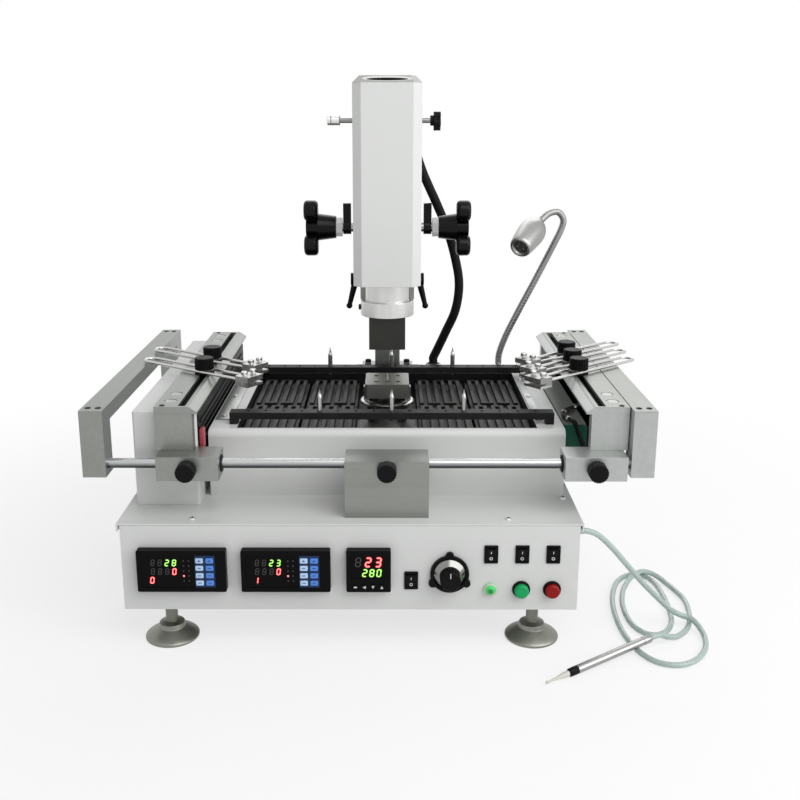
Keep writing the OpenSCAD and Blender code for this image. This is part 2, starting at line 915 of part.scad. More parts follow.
// Sprung cap with a slightly domed, chamfered face
module button(x) {
    r = button_dia / 2;
    on_panel(x, button_row_z)
        rotate_extrude()
            polygon([
                [0, 4 - button_barrel], [r, 4 - button_barrel], [r, button_out - 1.5], [r - 1.5, button_out],
                [0, button_out]
            ]);
}

module start_button() {
    color([0.1, 0.6, 0.35])
        button(switch_x);
}

module stop_button() {
    color([0.75, 0.08, 0.06])
        button(switch_x + switch_pitch);
}

// Preheater

module preheat_housing() {
    rear_roof = 6;
    gland = hose_route[len(hose_route) - 1];
    color(white) {
        translate([ax + gland[0], head_y + gland[1], heat_top - past])
            cylinder(d = gland_dia, h = gland_h + past);
        difference() {
            translate([heat_x, heat_y + heat_d / 2, deck_z])
                rotate([90, 0, 90])
                    linear_extrude(heat_w) {
                        translate([-heat_d / 2, 0])
                            square([heat_d, heat_h - edge_round]);
                        translate([edge_round - heat_d / 2, 0])
                            square([heat_d - 2 * edge_round, heat_h]);
                        for (s = [-1, 1])
                            translate([s * (heat_d / 2 - edge_round), heat_h - edge_round])
                                circle(edge_round);
                    }
            translate([ax - bed_w / 2, bed_y, bed_z])
                cube([bed_w, bed_d, bed_depth + past]);
            translate([heat_x + sheet_t, heat_y + sheet_t, deck_z - past])
                cube([heat_w - 2 * sheet_t, heat_d - 2 * sheet_t, bed_z - sheet_t - deck_z + past]);
            translate([heat_x + sheet_t, bed_y + bed_d + sheet_t, deck_z - past])
                cube([heat_w - 2 * sheet_t, bed_back - edge_round - sheet_t, heat_h - rear_roof + past]);
            translate([ax, head_y, bed_z - sheet_t])
                cylinder(d = air_tube_dia + 2 * loose, h = 4 * sheet_t, center = true);
        }
    }
}

// Outline of a tile's heating ridges, one bent strip
module serpentine(w, d, runs) {
    ridge = w / (2 * runs - 1);
    for (i = [0 : runs - 1])
        translate([2 * i * ridge - w / 2, -d / 2])
            square([ridge, d]);
    for (i = [0 : runs - 2])
        translate([2 * i * ridge - w / 2, i % 2 == 0 ? d / 2 - ridge : -d / 2])
            square([3 * ridge, ridge]);
}

module heater_tiles() {
    tile_w = (bed_w - nozzle_bay) / 4 - tile_gap;
    tile_d = bed_d / 2 - tile_gap;
    margin = 4;
    color(dark)
        for (side = [-1, 1], col = [0, 1], row = [-1, 1])
            translate([
                ax + side * (nozzle_bay / 2 + (col + 0.5) * (tile_w + tile_gap)),
                bed_y + bed_d / 2 + row * bed_d / 4,
                bed_z
            ]) {
                linear_extrude(tile_t)
                    square([tile_w, tile_d], center = true);
                linear_extrude(tile_t + ridge_h)
                    serpentine(tile_w - 2 * margin, tile_d - 2 * margin, 6);
            }
}

module side_cover() {
    y0 = rod_y[0] + slider_behind + cover_clear_y;
    d = rods_apart - 2 * (slider_behind + cover_clear_y);
    x0 = table_x - frame_in + cover_in;
    cover_w = heat_x - cover_gap - x0;
    corner = 3;
    color(white)
        difference() {
            translate([x0 + cover_w / 2, y0 + d / 2, deck_z])
                linear_extrude(cover_h)
                    round_rect(cover_w, d, corner);
            translate([x0 + sheet_t, y0 + sheet_t, deck_z - past])
                cube([cover_w - 2 * sheet_t, d - 2 * sheet_t, cover_h + past - sheet_t]);
        }
}

// Casing of a cross-flow fan on the preheater's right side, its outlet slot upwards
module cooling_fan() {
    fan_w = 28;
    fan_h = 66;
    fan_l = 260;
    color([0.05, 0.25, 0.16])
        translate([heat_x + heat_w + seam + fan_w / 2, heat_y + (heat_d + fan_l) / 2, heat_top - fan_h / 2])
            rotate([90, 0, 0])
                difference() {
                    linear_extrude(fan_l)
                        round_rect(fan_w, fan_h, 5);
                    translate([0, 0, sheet_t])
                        linear_extrude(fan_l - 2 * sheet_t) {
                            round_rect(fan_w - 2 * sheet_t, fan_h - 2 * sheet_t, 4);
                            translate([-fan_w / 4, 0])
                                square([fan_w / 2, fan_h]);
                        }
                }
}

// Air tube from the blower to its rim in the heater bed
module lower_air_tube() {
    low = foot_h + sheet_t + blower_h;
    high = heat_top - air_rim_t;
    wall = 2;
    color(steel)
        translate([ax, head_y, 0])
            difference() {
                union() {
                    translate([0, 0, low])
                        cylinder(d = air_tube_dia, h = high - low);
                    translate([0, 0, high])
                        cylinder(d = air_rim_dia, h = air_rim_t);
                }
                translate([0, 0, low - past])
                    cylinder(d = air_tube_dia - 2 * wall, h = high + air_rim_t - low + 2 * past);
            }
}

// Hood of the lower nozzle on two legs over the rim, its top plate with a support pin
module lower_nozzle() {
    plate_t = 2;
    leg = 5;
    pin_h = 9;
    foot_z = heat_top;
    hood_z = foot_z + neck_h;
    color(dark)
        translate([ax, head_y, 0]) {
            difference() {
                translate([0, 0, hood_z])
                    linear_extrude(hood_h)
                        round_rect(hood_w, hood_d, 3);
                translate([0, 0, hood_z - past])
                    linear_extrude(hood_h + past - plate_t)
                        round_rect(hood_w - 2 * hood_wall, hood_d - 2 * hood_wall, 2);
                for (sx = [-1, 0, 1], sy = [-1, 1])
                    translate([sx * hood_w / 4, sy * hood_d / 4, hood_z])
                        cylinder(d = 6, h = 2 * hood_h, $fn = 24);
            }
            for (s = [-1, 1])
                translate([s * hood_w / 2 - leg / 2, -leg, foot_z])
                    cube([leg, 2 * leg, neck_h + hood_h / 2]);
            translate([0, 0, hood_z + hood_h - plate_t])
                cylinder(d1 = 5, d2 = 2, h = pin_h);
        }
}

// Board supports

// Rail with a row of holes, on two feet
module rail(y) {
    holes = floor((rail_len - 2 * rail_foot_l) / 2 / rail_hole_pitch);
    color(black)
        translate([ax + rail_shift, y, rail_z])
            difference() {
                union() {
                    translate([-rail_len / 2, -rail_w / 2, 0])
                        cube([rail_len, rail_w, rail_t]);
                    for (s = [-1, 1])
                        translate([s * (rail_len - rail_foot_l) / 2, 0, -rail_rise / 2 + past / 2])
                            cube([rail_foot_l, rail_w, rail_rise + past], center = true);
                }
                for (i = [-holes : holes])
                    translate([i * rail_hole_pitch, 0, -past])
                        cylinder(d = pin_dia + 2 * run_fit, h = rail_t + 2 * past, $fn = 24);
            }
}

// Three pointed pins of a rail, each with a shoulder on the rail
module pins(y) {
    color(steel)
        for (i = [-1 : 1])
            translate([ax + rail_shift + i * pins_every * rail_hole_pitch, y, rail_z])
                rotate_extrude($fn = 24)
                    polygon([
                        [0, -pin_below], [pin_dia / 2, -pin_below], [pin_dia / 2, rail_t],
                        [pin_body_dia / 2, rail_t], [pin_body_dia / 2, rail_t + pin_len - pin_tip],
                        [0, rail_t + pin_len]
                    ]);
}

module rail_front() {
    rail(heat_y + front_rail_in);
}

module rail_rear() {
    rail(heat_back - rear_rail_in);
}

module pins_front() {
    pins(heat_y + front_rail_in);
}

module pins_rear() {
    pins(heat_back - rear_rail_in);
}

// Board table

// Draws children at the front rod and mirrored at the rear rod
module front_and_rear() {
    translate([0, table_y, 0])
        for (s = [0, 1])
            mirror([0, s, 0])
                translate([0, -table_y, 0])
                    children();
}

module rod_bore(length) {
    translate([0, rod_y[0], rod_z])
        rotate([0, 90, 0])
            cylinder(d = rod_dia + 2 * run_fit, h = length, center = true);
}

// Threaded hole for a lock screw, from the front face to the rod
module lock_hole(x) {
    translate([x, rod_y[0], rod_z])
        rotate([90, 0, 0])
            cylinder(d = lock_screw_dia + 2 * run_fit, h = slider_ahead + past);
}

module centre_blocks() {
    depth = slider_ahead + 22;
    color(bare)
        difference() {
            front_and_rear()
                translate([ax - block_w / 2, rod_y[0] - slider_ahead, deck_z])
                    cube([block_w, depth, block_h]);
            front_and_rear()
                rod_bore(2 * table_w);
            lock_hole(ax);
        }
}

// Fluted knob on a screw that presses on the front rod
module lock_knob(x) {
    reach = slider_ahead - rod_dia / 2 - loose;
    color(black)
        translate([x, rod_y[0] - slider_ahead, rod_z])
            rotate([90, 0, 0]) {
                translate([0, 0, lock_gap])
                    fluted_knob(lock_dia, lock_len, 20, 1.6);
                translate([0, 0, -reach])
                    cylinder(d = lock_screw_dia, h = reach + lock_gap + past);
            }
}

module centre_knob() {
    lock_knob(ax);
}

module guide_rods() {
    color(steel)
        front_and_rear()
            translate([table_x, rod_y[0], rod_z])
                rotate([0, 90, 0])
                    cylinder(d = rod_dia, h = 2 * (frame_in + rod_seat), center = true);
}

// One inverted-U frame at the right end; the left one is its mirror image
module end_frame() {
    low = rod_z - frame_under;
    height = jaw_top - low;
    length = rods_apart + 2 * frame_ahead;
    post = frame_ahead + slider_behind;
    difference() {
        translate([frame_in, rod_y[0] - frame_ahead, low])
            cube([frame_w, length, height]);
        translate([frame_in - past, rod_y[0] - frame_ahead + post, low - past])
            cube([frame_w + 2 * past, length - 2 * post, height - beam_h + past]);
        front_and_rear() {
            rod_bore(2 * (frame_in + rod_seat));
            for (s = [-1, 1])
                translate([frame_in + (frame_w + s * frame_bolt_pitch) / 2, rod_y[0], jaw_top])
                    cylinder(d = frame_bolt_dia, h = 2 * frame_bolt_depth, center = true, $fn = 24);
        }
    }
}

module end_frames() {
    color(bare)
        translate([table_x, 0, 0])
            for (s = [0, 1])
                mirror([s, 0, 0])
                    end_frame();
}

jaw_y = rod_y[0] + slider_behind - bracket_t;
jaw_d = rods_apart - 2 * (slider_behind - bracket_t);

// Sliders, brackets and slotted top plate of a right-hand jaw; its outer edge lies at x = 0
module jaw() {
    recess_dia = 14;
    difference() {
        front_and_rear() {
            translate([-slider_in - slider_w, rod_y[0] - slider_ahead, rod_z - slider_h / 2])
                cube([slider_w, slider_ahead + slider_behind, slider_h]);
            translate([-bracket_w, jaw_y, rod_z + slider_h / 2 + seam])
                cube([bracket_w, bracket_t, jaw_z - rod_z - slider_h / 2 - 2 * seam]);
        }
        front_and_rear()
            rod_bore(4 * slider_w);
        lock_hole(-slider_in - slider_w / 2);
    }
    difference() {
        translate([0, jaw_y + jaw_d, jaw_z])
            rotate([90, 0, 0])
                linear_extrude(jaw_d)
                    polygon([
                        [0, 0], [0, jaw_t], [jaw_bevel - jaw_w, jaw_t], [-jaw_w, jaw_edge], [-jaw_w, 0]
                    ]);
        translate([-slot_in, jaw_y + jaw_d / 2, jaw_top])
            tee_slot(jaw_d - 2 * slot_end);
        for (y = [25, 55, jaw_d - 55, jaw_d - 25])
            translate([-recess_dia, jaw_y + y, jaw_top - 1])
                cylinder(d = recess_dia, h = 2, $fn = 32);
    }
}

// Cutter of a T-slot along Y with its mouth at z = 0
module tee_slot(length) {
    translate([0, 0, (tee_floor - jaw_t) / 2 + past / 2])
        cube([slot_w, length, jaw_t - tee_floor + past], center = true);
    translate([0, 0, tee_floor - jaw_t + tee_h / 2])
        cube([tee_w, length, tee_h], center = true);
}

module jaw_left() {
    color(bare)
        translate([table_x - frame_in + left_jaw_gap, 0, 0])
            mirror([1, 0, 0])
                jaw();
}

module jaw_right() {
    color(bare)
        translate([table_x + frame_in - right_jaw_gap, 0, 0])
            jaw();
}

left_slot_x = table_x - frame_in + left_jaw_gap + slot_in;
right_slot_x = table_x + frame_in - right_jaw_gap - slot_in;
lock_in = slider_in + slider_w / 2;

module knob_left() {
    lock_knob(table_x - frame_in + left_jaw_gap + lock_in);
}

module knob_right() {
    lock_knob(table_x + frame_in - right_jaw_gap - lock_in);
}

// Clamp fingers

// T-headed stud with a washer on the jaw and a fluted knob above the finger
module stud(x, y) {
    head_w = tee_w - 2 * slide_fit;
    head_z0 = tee_floor - jaw_t + slide_fit;
    head_h = tee_h - 2 * slide_fit;
    knob_z = wire_z - jaw_top + wire_dia / 2 + loose / 2;
    color(black)
        translate([x, y, jaw_top]) {
            translate([-head_w / 2, -head_w / 2, head_z0])
                cube([head_w, head_w, head_h]);
            translate([0, 0, head_z0])
                cylinder(d = neck_dia, h = knob_z - head_z0 + past);
            translate([0, 0, loose / 2])
                cylinder(d = washer_dia, h = washer_t);
            translate([0, 0, knob_z])
                fluted_knob(finger_knob_dia, finger_knob_len, 22, 1.6);
        }
}

// Bent wire with a pivot saddle and a board clip, pointing along angle from its stud
module finger(x, y, angle) {
    r = finger_spread / 2;
    color(steel)
        translate([x, y, wire_z])
            rotate(angle)
                difference() {
                    union() {
                        for (s = [-1, 1])
                            translate([-finger_out, s * r, 0])
                                rotate([0, 90, 0])
                                    cylinder(d = wire_dia, h = finger_out + finger_in, $fn = 24);
                        translate([-finger_out, 0, 0])
                            rotate(90)
                                rotate_extrude(angle = 180)
                                    translate([r, 0])
                                        circle(d = wire_dia, $fn = 24);
                        translate([-saddle_w / 2, -r, -wire_dia / 2])
                            cube([saddle_w, 2 * r, wire_dia]);
                        translate([finger_in - clip_l, -clip_w / 2, -clip_down])
                            cube([clip_l, clip_w, clip_up + clip_down]);
                    }
                    translate([0, 0, -wire_dia])
                        cylinder(d = neck_dia + 2 * run_fit, h = 2 * wire_dia);
                    translate([finger_in - clip_l / 2, -clip_w, -clip_down + clip_slot])
                        cube([clip_l, 2 * clip_w, clip_slot]);
                }
}

module left_stud(i) {
    stud(left_slot_x, fy + left_finger_y + i * left_finger_pitch);
}

module right_stud(i) {
    stud(right_slot_x, fy + right_finger_y + i * right_finger_pitch);
}

module left_finger(i) {
    finger(left_slot_x, fy + left_finger_y + i * left_finger_pitch, -left_angle);
}

module right_finger(i) {
    finger(right_slot_x, fy + right_finger_y + i * right_finger_pitch, 180 + right_angle);
}

module column() {
    color(bare)
        translate([ax, column_y, heat_top]) {
            translate([-column_base_w / 2, -column_base_d / 2, 0])
                cube([column_base_w, column_base_d, column_base_t]);
            translate([0, 0, column_base_t - past])
                linear_extrude(column_h - column_base_t + past)
                    round_rect(column_w, column_w, 2);
        }
}

// Bracket on the column with the T-guide of the head and the bearings of both shafts
module arm() {
    front = head_back + arm_front_gap;
    pocket_back = pinion_y + pinion_pocket;
    cheek_back = pocket_back + arm_cheek_d;
    clamp_front = column_y - column_w / 2 - arm_clamp_wall;
    clamp_back = column_y + column_w / 2 + arm_clamp_wall;
    color(bare)
        difference() {
            translate([ax, 0, arm_low])
                linear_extrude(arm_high - arm_low)
                    difference() {
                        union() {
                            translate([-arm_front_w / 2, front])
                                square([arm_front_w, cheek_back - front]);
                            translate([-arm_mid_w / 2, cheek_back - past])
                                square([arm_mid_w, clamp_front - cheek_back + 2 * past]);
                            translate([-arm_clamp_w / 2, clamp_front])
                                square([arm_clamp_w, clamp_back - clamp_front]);
                        }
                        translate([-rail_neck_w / 2 - slide_fit, front - past])
                            square([rail_neck_w + 2 * slide_fit, rail_neck_d + past]);
                        translate([-rail_head_w / 2 - slide_fit, head_back + rail_neck_d - slide_fit])
                            square([rail_head_w + 2 * slide_fit, pocket_back - head_back - rail_neck_d]);
                        translate([0, column_y])
                            round_rect(column_w + 2 * seam, column_w + 2 * seam, 2);
                    }
            translate([ax, pinion_y, pinion_z])
                rotate([0, 90, 0])
                    cylinder(d = shaft_dia + 2 * run_fit, h = 2 * arm_front_w, center = true);
            translate([ax, lever_y, lever_z])
                rotate([0, 90, 0])
                    cylinder(d = lever_shaft_dia + 2 * run_fit, h = 2 * arm_front_w, center = true);
        }
}

// Cross shaft with a tapered lever at each end, pointing down and slightly outwards
module clamp_levers() {
    splay = 14;
    boss_x = arm_front_w / 2 + loose;
    color(black)
        translate([ax, lever_y, lever_z]) {
            rotate([0, 90, 0])
                cylinder(d = lever_shaft_dia, h = 2 * boss_x + past, center = true);
            for (s = [0, 1])
                mirror([s, 0, 0])
                    translate([boss_x, 0, 0]) {
                        rotate([0, 90, 0])
                            cylinder(d = 16, h = lever_boss);
                        translate([lever_boss / 2, 0, 0])
                            rotate([0, 180 - splay, 0]) {
                                cylinder(d1 = 9, d2 = 6, h = lever_len);
                                translate([0, 0, lever_len])
                                    sphere(d = 8);
                            }
                    }
        }
}

function involute(a) = tan(a) * 180 / PI - a;

// Half width of a pinion tooth at radius r, in degrees
function tooth_half(r) =
    let (
        base = pitch_r * cos(20),
        at_pitch = 90 / pinion_teeth - backlash / 2 / pitch_r * 90 / PI
    )
    at_pitch + involute(20) - (r > base ? involute(acos(base / r)) : 0);

module pinion_gear() {
    radii = [pitch_r - dedendum, pitch_r * cos(20), pitch_r, pitch_r + addendum / 2, pitch_r + addendum];
    last = len(radii) - 1;
    polygon([
        for (i = [0 : pinion_teeth - 1])
            let (mid = 180 + i * 360 / pinion_teeth)
            for (k = [0 : 2 * last + 1])
                let (
                    n = k <= last ? k : 2 * last + 1 - k,
                    side = k <= last ? -1 : 1,
                    a = mid + side * tooth_half(radii[n])
                )
                radii[n] * [cos(a), sin(a)]
    ]);
}

// Shaft with the pinion in its middle and a nut against each handle
module pinion_shaft() {
    nut_l = 8;
    nut_dia = 24;
    stub = 12;
    color(steel)
        translate([ax, pinion_y, pinion_z]) {
            rotate([90, 0, 90])
                translate([0, 0, -rack_w / 2])
                    linear_extrude(rack_w)
                        pinion_gear();
            rotate([0, 90, 0])
                cylinder(d = shaft_dia, h = 2 * (handle_inner + stub), center = true);
            for (s = [0, 1])
                mirror([s, 0, 0])
                    translate([handle_inner - nut_l - seam, 0, 0])
                        rotate([0, 90, 0])
                            cylinder(d = nut_dia, h = nut_l, $fn = 6);
        }
}

// Three-lobed handle with its hub, its axis along Z
module handle() {
    hub_dia = 34;
    hub_h = 23;
    lobe_t = 18;
    lobe_r = 13;
    edge = 5;
    orbit = handle_reach - lobe_r;
    difference() {
        union() {
            cylinder(d1 = hub_dia - 6, d2 = hub_dia, h = hub_h);
            cylinder(d = hub_dia - 8, h = hub_h + lobe_t - 3);
            for (i = [0 : 2])
                rotate(90 + i * 120)
                    translate([orbit, 0, hub_h - past])
                        rotate_extrude()
                            lobe_profile(lobe_r, lobe_t, edge);
        }
        translate([0, 0, -past])
            cylinder(d = shaft_dia + 2 * run_fit, h = 14);
    }
}

module lobe_profile(r, t, edge) {
    square([r - edge, t]);
    translate([0, edge])
        square([r, t - 2 * edge]);
    for (z = [edge, t - edge])
        translate([r - edge, z])
            circle(edge);
}

// Both handles and the winged friction rings next to the arm
module pinion_handles() {
    wing_t = 10;
    wing_w = 10;
    wing_h = 30;
    wing_x = arm_front_w / 2 + 12;
    color(black)
        translate([ax, pinion_y, pinion_z])
            for (s = [0, 1])
                mirror([s, 0, 0]) {
                    translate([handle_inner, 0, 0])
                        rotate([0, 90, 0])
                            handle();
                    translate([wing_x, 0, 0])
                        difference() {
                            union() {
                                rotate([0, 90, 0])
                                    cylinder(d = shaft_dia + 6, h = wing_t);
                                translate([0, -wing_w / 2, 0])
                                    cube([wing_t, wing_w, wing_h]);
                            }
                            rotate([0, 90, 0])
                                cylinder(d = shaft_dia + 2 * run_fit, h = 4 * wing_t, center = true);
                        }
                }
}

// Head

module head_housing() {
    color(white)
        translate([ax, head_y, head_z])
            difference() {
                linear_extrude(head_h)
                    cut_square(head_w, head_d, head_chamfer);
                translate([0, 0, sheet_t])
                    linear_extrude(head_h)
                        cut_square(head_w - 2 * sheet_t, head_d - 2 * sheet_t, head_chamfer - sheet_t / 2);
                translate([0, 0, -past])
                    cylinder(d = heater_dia + 2 * run_fit, h = sheet_t + 2 * past);
                translate([0, 0, head_h - cross_screw_drop])
                    rotate([0, 90, 0])
                        cylinder(d = cross_screw_dia + 2 * run_fit, h = 2 * head_w, center = true);
            }
}

// T-shaped guide on the back of the housing with the rack on its back
module head_rail() {
    z0 = head_z + rail_low;
    z1 = head_z + rail_high;
    pitch = PI * gear_module;
    half_tip = pitch / 4 - backlash / 2 - addendum * tan(20);
    half_root = pitch / 4 - backlash / 2 + dedendum * tan(20);
    first = ceil((z0 + half_root - pinion_z) / pitch - 0.5);
    last = floor((z1 - half_root - pinion_z) / pitch - 0.5);
    root = rack_root_y - seam;
    tip = rack_pitch_y + addendum;
    tooth = [[root, -half_root], [tip, -half_tip], [tip, half_tip], [root, half_root]];
    color(steel) {
        translate([ax, head_back, z0]) {
            translate([-rail_neck_w / 2, 0, 0])
                cube([rail_neck_w, rail_neck_d + past, z1 - z0]);
            translate([-rail_head_w / 2, rail_neck_d, 0])
                cube([rail_head_w, rail_head_d, z1 - z0]);
        }
        translate([ax - rack_w / 2, 0, 0])
            rotate([90, 0, 90])
                linear_extrude(rack_w)
                    polygon(concat(
                        [[root - past, z0]],
                        [[root, z0]],
                        [
                            for (i = [first : last])
                                let (z = pinion_z + (i + 0.5) * pitch)
                                for (p = tooth)
                                    [p[0], z + p[1]]
                        ],
                        [[root, z1]],
                        [[root - past, z1]]
                    ));
    }
}

// Bevelled cap with a sunk vent
module head_cap() {
    vent_dia = 46;
    across = (head_w + head_d - 2 * head_chamfer) / sqrt(2);
    color(steel)
        translate([ax, head_y, head_top + seam])
            difference() {
                intersection() {
                    bevelled(head_w, 0);
                    bevelled(head_d, 90);
                    bevelled(across, 45);
                    bevelled(across, 135);
                }
                translate([0, 0, cap_h / 2])
                    cylinder(d = vent_dia, h = cap_h);
            }
}

// Long bar with two sloping sides, w wide at its foot, turned about Z
module bevelled(w, turn) {
    bevel = 8;
    rotate(turn)
        translate([0, head_w, 0])
            rotate([90, 0, 0])
                linear_extrude(2 * head_w)
                    polygon([[-w / 2, 0], [w / 2, 0], [w / 2 - bevel, cap_h], [bevel - w / 2, cap_h]]);
}

// Heater barrel, collar and flange in one turned piece, bored for the nozzle's spigot
module head_collar() {
    color(bare)
        translate([ax, head_y, 0])
            difference() {
                union() {
                    translate([0, 0, flange_z])
                        cylinder(d = flange_dia, h = flange_h);
                    translate([0, 0, collar_z])
                        cylinder(d = collar_dia, h = collar_h - seam);
                    translate([0, 0, collar_z])
                        cylinder(d = heater_dia, h = collar_h + heater_len);
                }
                translate([0, 0, flange_z - past])
                    cylinder(d = spigot_dia + 2 * run_fit, h = flange_h + collar_h + past);
            }
}

// Square hot-air nozzle, open below, with a round spigot that turns in the flange
module hot_air_nozzle() {
    color(dark)
        translate([ax, head_y, nozzle_z])
            difference() {
                union() {
                    linear_extrude(nozzle_h)
                        square(nozzle_w, center = true);
                    translate([0, 0, nozzle_h - past])
                        cylinder(d = spigot_dia, h = spigot_h + past);
                }
                translate([0, 0, -past])
                    linear_extrude(nozzle_h - nozzle_wall + past)
                        square(nozzle_w - 2 * nozzle_wall, center = true);
                translate([0, 0, -past])
                    cylinder(d = spigot_dia - 2 * nozzle_wall, h = nozzle_h + spigot_h + 2 * past);
            }
}

cross_z = head_top - cross_screw_drop;
cross_reach = 15.5;

// Screw across the head with a knurled thumb head on its left end
module cross_screw() {
    thumb_dia = 11;
    thumb_l = 15;
    left = -head_w / 2 - cross_reach;
    right = head_w / 2 + cross_reach - 3;
    color(steel)
        translate([ax, head_y, cross_z])
            rotate([0, 90, 0]) {
                translate([0, 0, left])
                    cylinder(d = cross_screw_dia, h = right - left);
                translate([0, 0, left])
                    rotate([180, 0, 0])
                        fluted_knob(thumb_dia, thumb_l, 24, 0.8);
            }
}

// Five-lobed knob on the right end of the cross screw
module star_knob() {
    dia = 23;
    t = 12;
    lobe = 9;
    hub = 12;
    lobes = 5;
    color(black)
        translate([ax + head_w / 2 + cross_reach - 5, head_y, cross_z])
            rotate([0, 90, 0])
                difference() {
                    union() {
                        cylinder(d = hub, h = t);
                        translate([0, 0, 4])
                            cylinder(d = dia - 6, h = t - 4);
                        for (i = [0 : lobes - 1])
                            rotate(i * 360 / lobes)
                                translate([(dia - lobe) / 2, 0, 4])
                                    cylinder(d = lobe, h = t - 4);
                    }
                    translate([0, 0, -past])
                        cylinder(d = cross_screw_dia + 2 * run_fit, h = 2 + past + 0.1);
                }
}

// Hose from the gland on the preheater to the back of the head
module air_hose() {
    path = [for (p = resample(hose_route, 30)) [ax + p[0], head_y + p[1], heat_top + p[2]]];
    color(black)
        tube_along(path, hose_dia, 10, [1, 0, 0]);
}

module work_lamp() {
    path = [for (p = resample(lamp_route, 28)) [ax + p[0], head_y + p[1], heat_top + p[2]]];
    color(steel) {
        translate([path[0][0], path[0][1], heat_top])
            cylinder(d1 = lamp_base_dia, d2 = lamp_base_dia - 8, h = lamp_base_h - seam);
        tube_along(path, stem_dia, 10, [0, 1, 0]);
        translate(path[len(path) - 1])
            rotate([0, bullet_tilt, bullet_yaw])
                bullet(bullet_dia / 2);
    }
}

// Egg-shaped lamp head with a sunk lens
module bullet(r) {
    difference() {
        rotate_extrude()
            polygon([
                [0, seam], [stem_dia / 2 + 1, seam], [stem_dia / 2 + 2, 5], [r - 7, 9], [r - 3, 15],
                [r - 1, 21], [r, 28], [r - 1, 44], [r - 3, bullet_len - 4], [r - 5, bullet_len],
                [0, bullet_len]
            ]);
        translate([0, 0, bullet_len - 4])
            cylinder(d1 = 2 * r - 20, d2 = 2 * r - 17, h = 5);
    }
}

module vacuum_tube() {
    path = [for (p = resample(tube_route, tube_rings)) [cab_x + cab_w + p[0], fy + p[1], p[2]]];
    color([0.75, 0.85, 0.8])
        tube_along(path, tube_dia, 8, [0, 0, 1]);
}

// Pen with a barrel, a collar and a tapered tip
module vacuum_pen() {
    rear = tube_route[len(tube_route) - 1];
    way = pen_tip - rear;
    length = norm(way);
    r = barrel_dia / 2;
    color(steel)
        translate([cab_x + cab_w + rear[0], fy + rear[1], rear[2]])
            rotate([0, acos(way[2] / length), atan2(way[1], way[0])])
                rotate_extrude($fn = 32)
                    polygon([
                        [0, loose], [r - 1, loose], [r, 3], [r, length * 0.72], [r - 1.5, length * 0.72],
                        [r - 1.5, length * 0.78], [r - 1, length * 0.79], [2, length * 0.9],
                        [0.8, length - 1], [0.8, length], [0, length]
                    ]);
}

cabinet();
cabinet_lid();
levelling_feet();
mains_inlet();
blower_and_pump();
panel_meters();
panel_bezels();
cooling_fan();
rocker_panel();
rocker_vacuum();
rocker_cooling();
rocker_light();
airflow_skirt();
airflow_knob();
pilot_lamp();
start_button();
stop_button();
preheat_housing();
heater_tiles();
side_cover();
lower_air_tube();
lower_nozzle();
rail_front();
rail_rear();
pins_front();
pins_rear();
centre_blocks();
centre_knob();
guide_rods();
end_frames();
jaw_left();
jaw_right();
knob_left();
knob_right();
left_stud(0);  // stud_left_1
left_stud(1);  // stud_left_2
right_stud(0);  // stud_right_1
right_stud(1);  // stud_right_2
right_stud(2);  // stud_right_3
left_finger(0);  // finger_left_1
left_finger(1);  // finger_left_2
right_finger(0);  // finger_right_1
right_finger(1);  // finger_right_2
right_finger(2);  // finger_right_3
column();
arm();
clamp_levers();
pinion_shaft();
pinion_handles();
head_housing();
head_rail();
head_cap();
head_collar();
hot_air_nozzle();
cross_screw();
star_knob();
air_hose();
work_lamp();
vacuum_tube();
vacuum_pen();
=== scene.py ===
"""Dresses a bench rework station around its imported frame: finishes, panel faces, cords, lamp and stage."""

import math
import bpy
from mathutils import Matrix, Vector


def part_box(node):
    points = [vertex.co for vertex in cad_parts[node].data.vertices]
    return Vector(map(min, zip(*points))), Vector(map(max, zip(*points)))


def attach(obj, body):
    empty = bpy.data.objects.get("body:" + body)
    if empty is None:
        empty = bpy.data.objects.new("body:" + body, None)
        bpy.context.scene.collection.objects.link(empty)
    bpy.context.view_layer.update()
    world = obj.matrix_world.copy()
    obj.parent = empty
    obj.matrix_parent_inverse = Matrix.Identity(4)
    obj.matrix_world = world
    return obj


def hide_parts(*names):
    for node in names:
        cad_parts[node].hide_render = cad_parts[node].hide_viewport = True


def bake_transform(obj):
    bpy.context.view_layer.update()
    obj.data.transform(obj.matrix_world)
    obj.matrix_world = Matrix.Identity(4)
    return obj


bl_info = {
    "name": "Rework Station Looks",
    "version": (1, 0, 0),
    "blender": (4, 5, 0),
    "location": "View3D > Sidebar > Station",
    "description": "Finishes and fine pieces of a bench rework station around its packed frame",
    "category": "Object",
}

import bmesh
import bpy
from bpy.props import FloatProperty, FloatVectorProperty, PointerProperty
from mathutils import Matrix, Vector

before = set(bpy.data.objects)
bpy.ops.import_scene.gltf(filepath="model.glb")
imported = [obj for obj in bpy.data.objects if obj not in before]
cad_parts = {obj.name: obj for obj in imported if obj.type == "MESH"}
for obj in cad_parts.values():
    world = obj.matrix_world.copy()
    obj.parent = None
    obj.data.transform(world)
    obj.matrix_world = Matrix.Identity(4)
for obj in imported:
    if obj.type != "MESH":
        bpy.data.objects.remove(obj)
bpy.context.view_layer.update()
MM = 0.001
JOIN = 1e-6
UP, FRONT, BACK = Vector((0, 0, 1)), Vector((0, -1, 0)), Vector((0, 1, 0))

